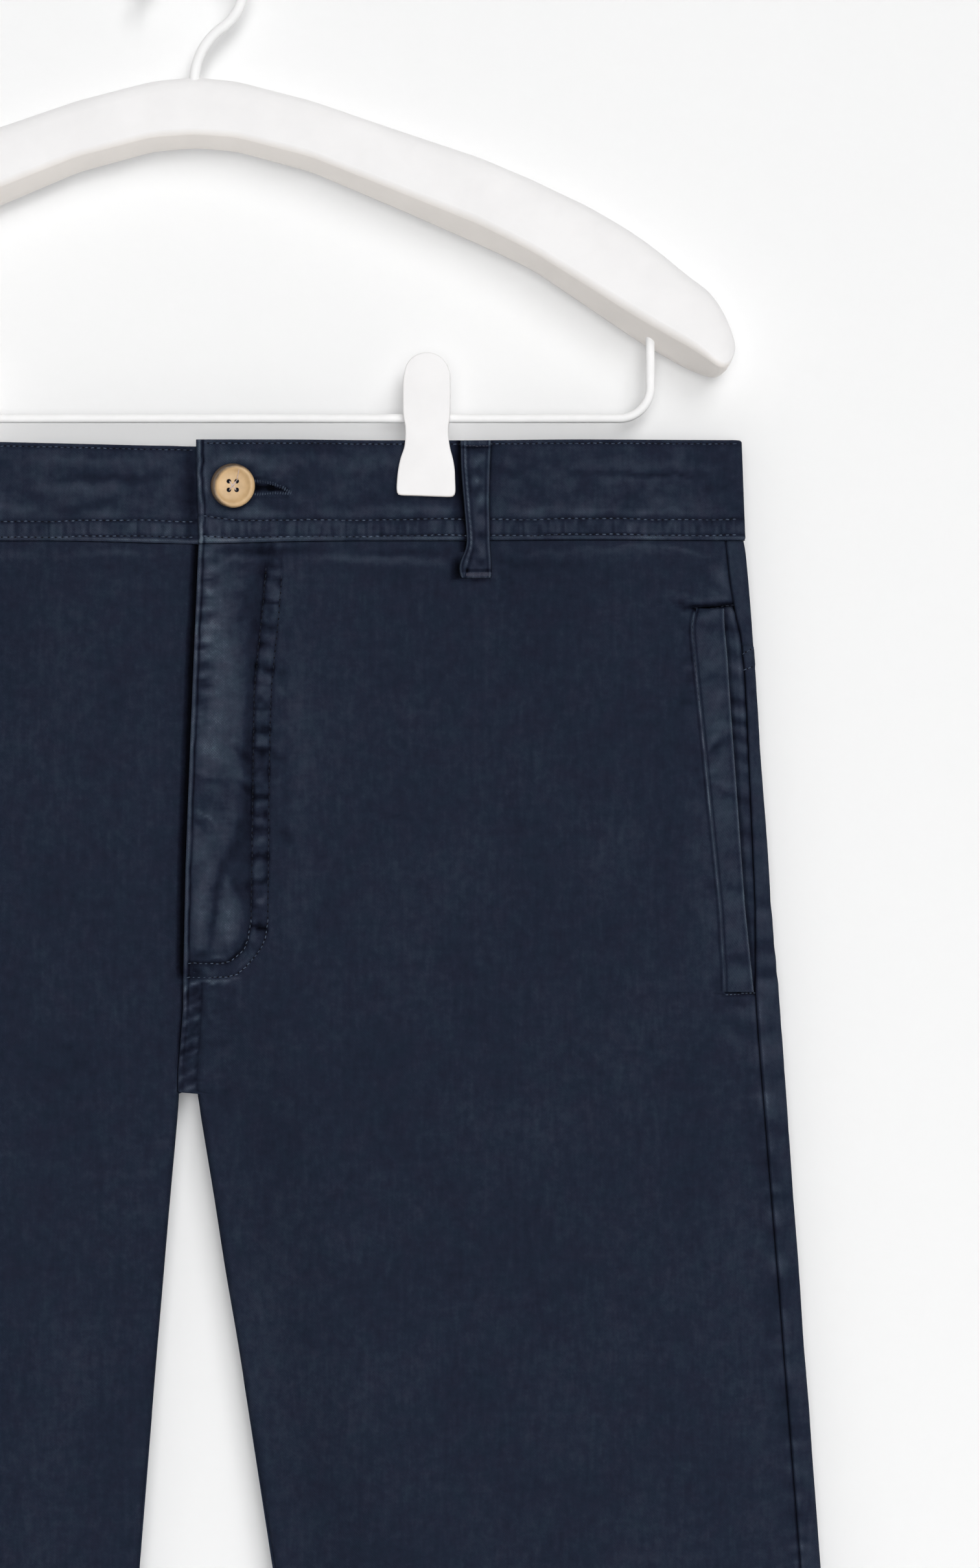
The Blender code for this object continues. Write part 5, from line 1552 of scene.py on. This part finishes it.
def buildZip():
    # one plain tape, closed and hidden behind the fly's lap
    rowDrop = 42.5 + spaced((155.5, 1.5))
    columns = 23

    def lay(column, row):
        drop = rowDrop[row]
        beside = column / (columns - 1)
        x = level(fly, "edge", drop) + 5.0 + 11.0 * beside
        coil = np.clip(1 - np.abs(beside - 0.5) / 0.16, 0, 1) * (0.8 + 0.2 * ripple(drop, (3.0, 1, 0)))
        return x, drop, np.full(x.shape, front), -1.55 - 0.15 + 0.15 * coil, -0.4 * coil, x

    return strip("fly_zip", len(rowDrop), columns, lay, 0.5, "zip", twill("zip_tape", -0.06))


pieces["fly_zip"] = buildZip()


def lattice(name, points):
    # a closed solid from rings of points in millimetres, rows by columns
    rows, columns = points.shape[:2]
    mesh = bmesh.new()
    bmesh.ops.create_grid(mesh, x_segments=columns - 1, y_segments=rows - 1, size=0.5)
    for vert in mesh.verts:
        column = round((vert.co.x + 0.5) * (columns - 1))
        row = round((vert.co.y + 0.5) * (rows - 1))
        vert.co = Vector(points[row, column]) * mm
    bmesh.ops.remove_doubles(mesh, verts=mesh.verts, dist=0.000005)
    closeEnds(mesh)
    return meshFrom(mesh, name)


def arc(centre, radius, first, last, count):
    turn = np.radians(np.linspace(first, last, count))
    return np.stack([centre[0] + radius * np.cos(turn), centre[1] + radius * np.sin(turn)], axis=1)


def wire(name, path, radius):
    # a round wire with softened ends along x and z
    path = np.array(path)
    way = np.gradient(path, axis=0)
    way /= np.linalg.norm(way, axis=1, keepdims=True)
    bend = np.radians([0, 30, 60, 80])
    sizes = np.concatenate([np.sin(bend), np.ones(len(path)), np.sin(bend)[::-1]])
    dome = radius * 0.5 * np.cos(bend)[:, None]
    path = np.vstack([path[0] - way[0] * dome, path, path[-1] + way[-1] * dome[::-1]])
    way = np.vstack([np.repeat(way[:1], 4, 0), way, np.repeat(way[-1:], 4, 0)])
    turn = np.linspace(0, math.tau, 25)
    points = np.empty((len(path), len(turn), 3))
    points[..., 0] = path[:, :1] - way[:, 1:] * sizes[:, None] * radius * np.cos(turn)
    points[..., 1] = sizes[:, None] * radius * np.sin(turn)
    points[..., 2] = path[:, 1:] + way[:, :1] * sizes[:, None] * radius * np.cos(turn)
    return place(lattice(name, points), "hanger_wire", whiteWire, name)


legRises = np.linspace(bar["legTop"], bar["rise"] + bar["bend"], 8)[:-1]
barPath = np.vstack([
    [(bar["legX"], waistZ + rise) for rise in legRises],
    arc((bar["legX"] - bar["bend"], waistZ + bar["rise"] + bar["bend"]), bar["bend"], 0, -90, 16),
    [(x, waistZ + bar["rise"]) for x in np.linspace(160, 0, 12)],
])
barPath = np.vstack([barPath, barPath[-2::-1] * (-1, 1)])
pieces["hanger_bar"] = wire("hanger_bar", barPath, bar["radius"])

hook = {"radius": 19.0, "wire": 2.0, "centreZ": -17.0, "stemRise": 128.0}
hookLoop = arc((0, hook["centreZ"]), hook["radius"], 190, -55, 56)
swan = hook["radius"] * math.cos(math.radians(55)) / (1 - math.cos(math.radians(55)))
swanZ = hookLoop[-1][1] - swan * math.sin(math.radians(55))
hookPath = np.vstack([
    hookLoop, arc((swan, swanZ), swan, 125, 180, 20)[1:],
    [(0, z) for z in np.linspace(swanZ, waistZ + hook["stemRise"], 8)[1:]],
])
pieces["hanger_hook"] = wire("hanger_hook", hookPath, hook["wire"])

arm = table(
    "x lower crease upper half",
    (0, 112, 118, 140, 6.5), (16, 110.5, 117, 138.5, 6.5), (45, 102.5, 109.5, 131, 7),
    (80, 87.5, 95.5, 119, 8), (110, 74, 83.5, 109, 9), (130, 65, 73, 100.5, 10), (152, 50, 59.3, 90, 11),
    (165, 41, 51, 82.5, 11.5), (174, 35, 45.5, 76.5, 12), (183, 30, 40.3, 69.5, 12),
    (190, 26, 36.6, 63.5, 11.8), (197, 23.8, 31.8, 58.6, 11.3), (200, 23.2, 29.3, 55.7, 10.66),
    (202, 23.8, 27.5, 52.8, 9.9), (204, 25.3, 26.6, 49.6, 8.77), (205.5, 27.1, 27.9, 46.7, 7.56),
    (206.7, 29.1, 29.6, 43.8, 6.19), (207.6, 31.2, 31.5, 41.1, 4.7), (208.2, 33.2, 33.4, 38.7, 3.1),
    (208.5, 34.9, 35.0, 37.1, 1.55), (208.58, 35.9, 35.95, 36.1, 0.5),
)


def rounded(corners, sharpness):
    # cuts the corners of a ring of points, twice; sharper corners are cut closer
    for share in (1, 0.5):
        ring = []
        for index, corner in enumerate(corners):
            before, after = corners[index - 1], corners[(index + 1) % len(corners)]
            keep = sharpness[index] * share
            ring += [corner + (before - corner) * keep, corner + (after - corner) * keep]
        corners, sharpness = ring, [value for value in sharpness for _ in (0, 1)]
    return np.array(corners)


def buildArms():
    tip, straight = arm["x"][-1], 190
    closing = (tip - straight) * np.linspace(1, 0, 34)[1:] ** 2
    stations = np.concatenate([np.linspace(0, straight, 58), tip - closing])
    stations = np.concatenate([-stations[:0:-1], stations])
    rings = []
    for x in stations:
        ease = 1.5 * math.tanh((tip - abs(x)) / 3)
        nearX = [abs(abs(x) + step * ease) for step in (-2, -1, 0, 1, 2)]
        lower, crease, upper, half = (
            sum(np.interp(nearX, arm["x"], arm[part])) / 5
            for part in ("lower", "crease", "upper", "half")
        )
        shoulder = crease + 0.72 * (upper - crease)
        side = [(-half, crease), (-0.78 * half, shoulder), (-0.3 * half, upper)]
        corners = [*side, *[(-y, z) for y, z in side[::-1]], (0.75 * half, lower)]
        ring = rounded([np.array(corner) for corner in corners], [0.10, 0.3, 0.3, 0.3, 0.3, 0.2, 0.25])
        rings.append([(x, y, waistZ + z) for y, z in np.vstack([ring, ring[:1]])])
    return place(lattice("hanger_arms", np.array(rings)), "hanger_plastic", whitePlastic, "hanger_arms")


pieces["hanger_arms"] = buildArms()

clip = {
    "x": body["clipX"], "inside": 2.7, "thick": 3.2, "capRise": 24.8, "capRadius": 8.75, "bevel": 0.6,
    "pad": (14.0, 1.4, 9.0),
}
# A jaw's two sides: distance from its middle, and rise above the waist.
clipSide = {
    "left": [
        (-8.5, 26.4), (-9.0, 24.2), (-9.2, 20), (-9.1, 10), (-8.3, 5), (-8.3, 0.5), (-8.7, -3.0),
        (-10.1, -7.2), (-11.0, -11.4), (-11.5, -16), (-11.6, -19.2), (-11.2, -20.8), (-9.8, -21.4),
        (-4, -21.6),
    ],
    "right": [
        (8.9, 26.4), (9.1, 20), (8.9, 10), (8.3, 4.5), (8.4, 0.5), (9.0, -3.4), (10.1, -7.6),
        (10.7, -11.4), (10.9, -16), (11.0, -19.6), (10.6, -21.3), (9.2, -22.0), (4, -21.9),
    ],
}


def buildClip(name, x, face):
    cap = arc((0, clip["capRise"]), clip["capRadius"], 162, 14, 22)
    jaw = np.vstack([cap, along(clipSide["right"], 1.0), along(clipSide["left"], 1.0)[::-1]])
    mesh = bmesh.new()
    bmesh.ops.create_circle(mesh, cap_ends=True, segments=len(jaw), radius=1.0)
    mesh.verts.ensure_lookup_table()
    for vert, (beside, rise) in zip(mesh.verts, jaw):
        vert.co = Vector((beside, 0, rise)) * mm
    out = bmesh.ops.extrude_face_region(mesh, geom=mesh.faces[:])
    moved = [item for item in out["geom"] if isinstance(item, bmesh.types.BMVert)]
    bmesh.ops.translate(mesh, verts=moved, vec=Vector((0, -clip["thick"], 0)) * mm)
    bmesh.ops.recalc_face_normals(mesh, faces=mesh.faces)
    rim = [edge for edge in mesh.edges if all(vert in moved for vert in edge.verts)]
    rim += [edge for edge in mesh.edges if not any(vert in moved for vert in edge.verts)]
    bevel = clip["bevel"] * mm
    bmesh.ops.bevel(mesh, geom=rim, offset=bevel, segments=3, profile=0.5, affect="EDGES", material=-1)
    pad = bmesh.ops.create_cube(mesh, size=1.0)["verts"]
    bmesh.ops.scale(mesh, verts=pad, vec=Vector(clip["pad"]) * mm)
    bmesh.ops.translate(mesh, verts=pad, vec=Vector((0, 0.3, bar["rise"])) * mm)
    if face == back:
        bmesh.ops.scale(mesh, verts=mesh.verts, vec=(1, -1, 1))
        bmesh.ops.reverse_faces(mesh, faces=mesh.faces)
    bmesh.ops.translate(mesh, verts=mesh.verts, vec=Vector((x, face * clip["inside"], waistZ)) * mm)
    return place(meshFrom(mesh, name), "hanger_plastic", whitePlastic, name)


for word, side in sides.items():
    for end, face in (("front", front), ("back", back)):
        name = f"clip_{word}_{end}"
        pieces[name] = buildClip(name, side * clip["x"], face)
print("hanger made")


button = {
    **buttonPlace, "holeRadius": 0.9, "holeX": 1.5, "holeZ": 1.65,
    # the turned profile: radius, and how far it stands out
    "profile": [
        (0, 0), (6.9, 0), (7.6, 0.25), (8.2, 0.7), (8.5, 1.3), (8.5, 1.9), (8.3, 2.4), (7.95, 2.75),
        (7.5, 2.95), (7.0, 2.95), (6.6, 2.8), (6.2, 2.5), (5.7, 2.2), (5.0, 2.0), (3.6, 1.9),
        (2.4, 1.88), (0, 1.88),
    ],
}


def hornFinish():
    made, nodes, links = newMaterial("horn_button")
    shader = nodes["Principled BSDF"]
    spot = addNode(nodes, "ShaderNodeTexCoord").outputs["Object"]
    # painted shade: a darker crescent round the upper left of the rim
    shifted = addNode(nodes, "ShaderNodeMapping", vector_type="POINT")
    centre = Vector((-(button["x"] + 1.3) * mm, 0.0, -(waistZ - button["drop"] - 0.6) * mm))
    shifted.inputs["Location"].default_value = centre
    links.new(spot, shifted.inputs["Vector"])
    flat = addNode(nodes, "ShaderNodeVectorMath", operation="MULTIPLY")
    flat.inputs[1].default_value = (1.0, 0.0, 1.0)
    links.new(shifted.outputs["Vector"], flat.inputs[0])
    reach = addNode(nodes, "ShaderNodeVectorMath", operation="LENGTH")
    links.new(flat.outputs["Vector"], reach.inputs[0])
    grain = noise(nodes, links, spot, Scale=420.0, Detail=3.0)
    streak = noise(nodes, links, spot, Scale=130.0, Detail=2.0)
    edge = maths(nodes, links, "ADD", reach.outputs["Value"], scaled(nodes, links, grain, 0.5, 0.0009))
    past = maths(nodes, links, "SUBTRACT", edge, 0.0073)
    dark = maths(nodes, links, "MULTIPLY", past, 1 / 0.0011, True)
    tone = blend(nodes, links, streak, 0.6, grain, 0.4)
    pale = ramp(nodes, links, tone, (0.3, (0.485, 0.32, 0.162)), (0.7, (0.67, 0.455, 0.245)))
    mix = addNode(nodes, "ShaderNodeMix", data_type="RGBA")
    links.new(dark, mix.inputs["Factor"])
    mix.inputs[7].default_value = (0.085, 0.058, 0.038, 1.0)
    links.new(pale, mix.inputs[6])
    links.new(mix.outputs[2], shader.inputs["Base Color"])
    shader.inputs["Roughness"].default_value = 0.42
    shader.inputs["Specular IOR Level"].default_value = 0.35
    addBump(nodes, links, grain, 0.15, 0.0001)
    return made


def buildButton():
    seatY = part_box("button")[1].y / mm
    mesh = bmesh.new()
    verts = [mesh.verts.new(Vector((radius, -out, 0.0)) * mm) for radius, out in button["profile"]]
    edges = [mesh.edges.new(pair) for pair in zip(verts, verts[1:])]
    bmesh.ops.spin(
        mesh, geom=verts + edges, axis=(0, 1, 0), cent=(0, 0, 0), steps=72, angle=math.tau, use_merge=True
    )
    bmesh.ops.remove_doubles(mesh, verts=mesh.verts, dist=0.00001)
    bmesh.ops.recalc_face_normals(mesh, faces=mesh.faces)
    middle = Vector((button["x"], seatY, waistZ - button["drop"])) * mm
    bmesh.ops.translate(mesh, verts=mesh.verts, vec=middle)
    blank = addObject("button_blank", meshFrom(mesh, "button"))
    drills = bmesh.new()
    holeRadius = button["holeRadius"] * mm
    for beside in (-1, 1):
        for up in (-1, 1):
            spot = middle + Vector((beside * button["holeX"], -1.5, up * button["holeZ"])) * mm
            bmesh.ops.create_cone(
                drills, cap_ends=True, segments=28, radius1=holeRadius, radius2=holeRadius, depth=8 * mm,
                matrix=Matrix.Translation(spot) @ Matrix.Rotation(math.pi / 2, 4, "X"),
            )
    drill = addObject("drills", meshFrom(drills, "drills"))
    bore = blank.modifiers.new("holes", "BOOLEAN")
    bore.operation = "DIFFERENCE"
    bore.solver = "EXACT"
    bore.object = drill
    drilled = bpy.data.meshes.new_from_object(blank.evaluated_get(bpy.context.evaluated_depsgraph_get()))
    bpy.data.objects.remove(drill)
    bpy.data.objects.remove(blank)
    drilled.name = "button"
    made = place(drilled, "horn", hornFinish(), "button")
    drilled.set_sharp_from_angle(angle=math.radians(40))
    return made


def buildButtonThread():
    # two strands each way through the holes, a soft knot in the middle and one loose end
    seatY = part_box("button")[1].y / mm
    middle = Vector((button["x"], seatY - 1.88, waistZ - button["drop"]))
    mesh = bmesh.new()
    strands = []
    for shift in (-0.45, 0.0, 0.45):
        for turn in (-1, 1):
            over = (0.1 * shift, -0.35 - 0.15 * turn, 0.2 * shift)
            strand = [(-1.25, 0.5, -1.35 * turn + shift), over, (1.25, 0.5, 1.35 * turn + shift)]
            strands.append((strand, 0.20, 1.15))
    tail = [(1.5, -0.1, 1.7), (1.8, -0.7, 2.6), (2.05, -0.85, 4.2), (2.5, -0.9, 6.4)]
    strands.append((tail, 0.16, 1.1))
    for strand, thick, radius in strands:
        spots = [(middle + Vector(spot)) * mm for spot in strand]
        for ends in zip(spots, spots[1:]):
            turn = bead(*ends, (0, -1, 0), thick, thick)
            bmesh.ops.create_uvsphere(mesh, u_segments=8, v_segments=6, radius=radius, matrix=turn)
    bmesh.ops.create_uvsphere(
        mesh, u_segments=14, v_segments=8, radius=1.3 * mm,
        matrix=Matrix.Translation((middle + Vector((0, 1.6, 0))) * mm),
    )
    paleThread = threadFinish("pale_thread", (0.72, 0.62, 0.58), (0.50, 0.38, 0.33))
    return place(meshFrom(mesh, "button_thread"), "thread", paleThread, "button_shank")


pieces["button"] = buildButton()
pieces["button_thread"] = buildButtonThread()
print("button made")


# The flat size that each piece of cloth was cut to, and its area; the loop below only forms the pieces'
# names.
sheets = {
    "front": ((0.232, 0.470), 0.085), "back": ((0.240, 0.428), 0.082),
    "yoke": ((0.222, 0.068), 0.0118), "waistband": ((0.425, 0.040), None),
    "pocket_welt": ((0.012, 0.148), None), "pocket_facing": ((0.014, 0.154), None),
}
for word in sides:
    for part, (size, area) in sheets.items():
        name = f"{part}_{word}"


view = {"aimX": 114.0, "aimDrop": 132.5, "height": 0.605, "lens": 100.0}
lens = bpy.data.cameras.new("camera")
lens.lens = view["lens"]
lens.sensor_width = 36.0
camera = addObject("camera", lens)
away = view["height"] * view["lens"] / lens.sensor_width
camera.location = (view["aimX"] * mm, -away, (waistZ - view["aimDrop"]) * mm)
camera.rotation_euler = (math.pi / 2, 0, 0)
bpy.context.scene.camera = camera
bpy.context.scene.view_settings.view_transform = "Standard"


def sunLight(name, way, strength, angle):
    # a soft light from far off that shines along way, as strong as a wall facing the camera gets it
    data = bpy.data.lights.new(name, "SUN")
    data.angle = math.radians(angle)
    way = Vector(way).normalized()
    data.energy = strength * math.pi / abs(way.y)
    made = addObject(name, data)
    made.location = way * -3
    made.rotation_mode = "QUATERNION"
    made.rotation_quaternion = way.to_track_quat("-Z", "Y")
    return made


# Each light's way, strength and angle.
suns = {
    "key_light": ((-0.36, 1.0, -0.55), 0.31, 30),
    "front_light": ((-0.03, 1.0, -0.04), 0.445, 34),
    "fill_light": ((0.85, 1.0, -0.15), 0.02, 40),
    "back_light": ((-0.25, -1.0, -0.12), 0.55, 30),
    "dim_back_light": ((-0.25, -1.0, -0.12), 0.18, 30),
}
lights = {name: sunLight(name, *values) for name, values in suns.items()}

# the hanger's broad back would throw the back light on to the backdrop, so it has a dimmer one
lit, dim = bpy.data.collections.new("lit_from_behind"), bpy.data.collections.new("dimly_lit_from_behind")
for name, made in pieces.items():
    (dim if name.startswith(("hanger", "clip")) else lit).objects.link(made)
lights["back_light"].light_linking.receiver_collection = lit
lights["dim_back_light"].light_linking.receiver_collection = dim

world = bpy.data.worlds.new("studio")
world.use_nodes = True
worldNodes, worldLinks = world.node_tree.nodes, world.node_tree.links
seen = worldNodes.new("ShaderNodeLightPath")
strength = timesPlus(worldNodes, worldLinks, seen.outputs["Is Camera Ray"], 0.82, 0.12)
worldLinks.new(strength, worldNodes["Background"].inputs["Strength"])
worldNodes["Background"].inputs["Color"].default_value = (1.0, 1.0, 1.0, 1.0)
bpy.context.scene.world = world


stageAt = {"wallY": 0.0145, "floorBelow": 0.25}


def plainPaint(name, roughness):
    made, nodes, links = newMaterial(name)
    shader = nodes["Principled BSDF"]
    shader.inputs["Base Color"].default_value = (0.9, 0.9, 0.9, 1.0)
    shader.inputs["Roughness"].default_value = roughness
    shader.inputs["Specular IOR Level"].default_value = 0.0
    return made, nodes, links, shader


def buildStage():
    floorPaint, nodes, links, shader = plainPaint("floor_paint", 0.5)
    shader.inputs["Emission Color"].default_value = (1.0, 1.0, 1.0, 1.0)
    seenHere = nodes.new("ShaderNodeLightPath").outputs["Is Camera Ray"]
    links.new(maths(nodes, links, "MULTIPLY", seenHere, 0.55), shader.inputs["Emission Strength"])

    # the backdrop is clear from behind, so the back can be looked at
    wallPaint, nodes, links, shader = plainPaint("backdrop_paint", 1.0)
    clear = nodes.new("ShaderNodeBsdfTransparent")
    mix = nodes.new("ShaderNodeMixShader")
    seenFrom = nodes.new("ShaderNodeNewGeometry")
    links.new(seenFrom.outputs["Backfacing"], mix.inputs["Fac"])
    links.new(shader.outputs["BSDF"], mix.inputs[1])
    links.new(clear.outputs["BSDF"], mix.inputs[2])
    links.new(mix.outputs["Shader"], nodes["Material Output"].inputs["Surface"])
    upright, flat = Matrix.Rotation(math.pi / 2, 4, "X"), Matrix.Identity(4)
    for name, size, turn, middle, paint in (
        ("backdrop", 6.0, upright, (0.0, stageAt["wallY"], -0.3), wallPaint),
        ("floor", 12.0, flat, (0.0, 0.0, cadLow.z - stageAt["floorBelow"]), floorPaint),
    ):
        mesh = bmesh.new()
        bmesh.ops.create_grid(mesh, x_segments=1, y_segments=1, size=size / 2)
        bmesh.ops.transform(mesh, matrix=Matrix.Translation(middle) @ turn, verts=mesh.verts)
        stage = addObject(name, meshFrom(mesh, name))
        stage.data.materials.append(paint)
        stage.visible_shadow = False


buildStage()
print("stage set")
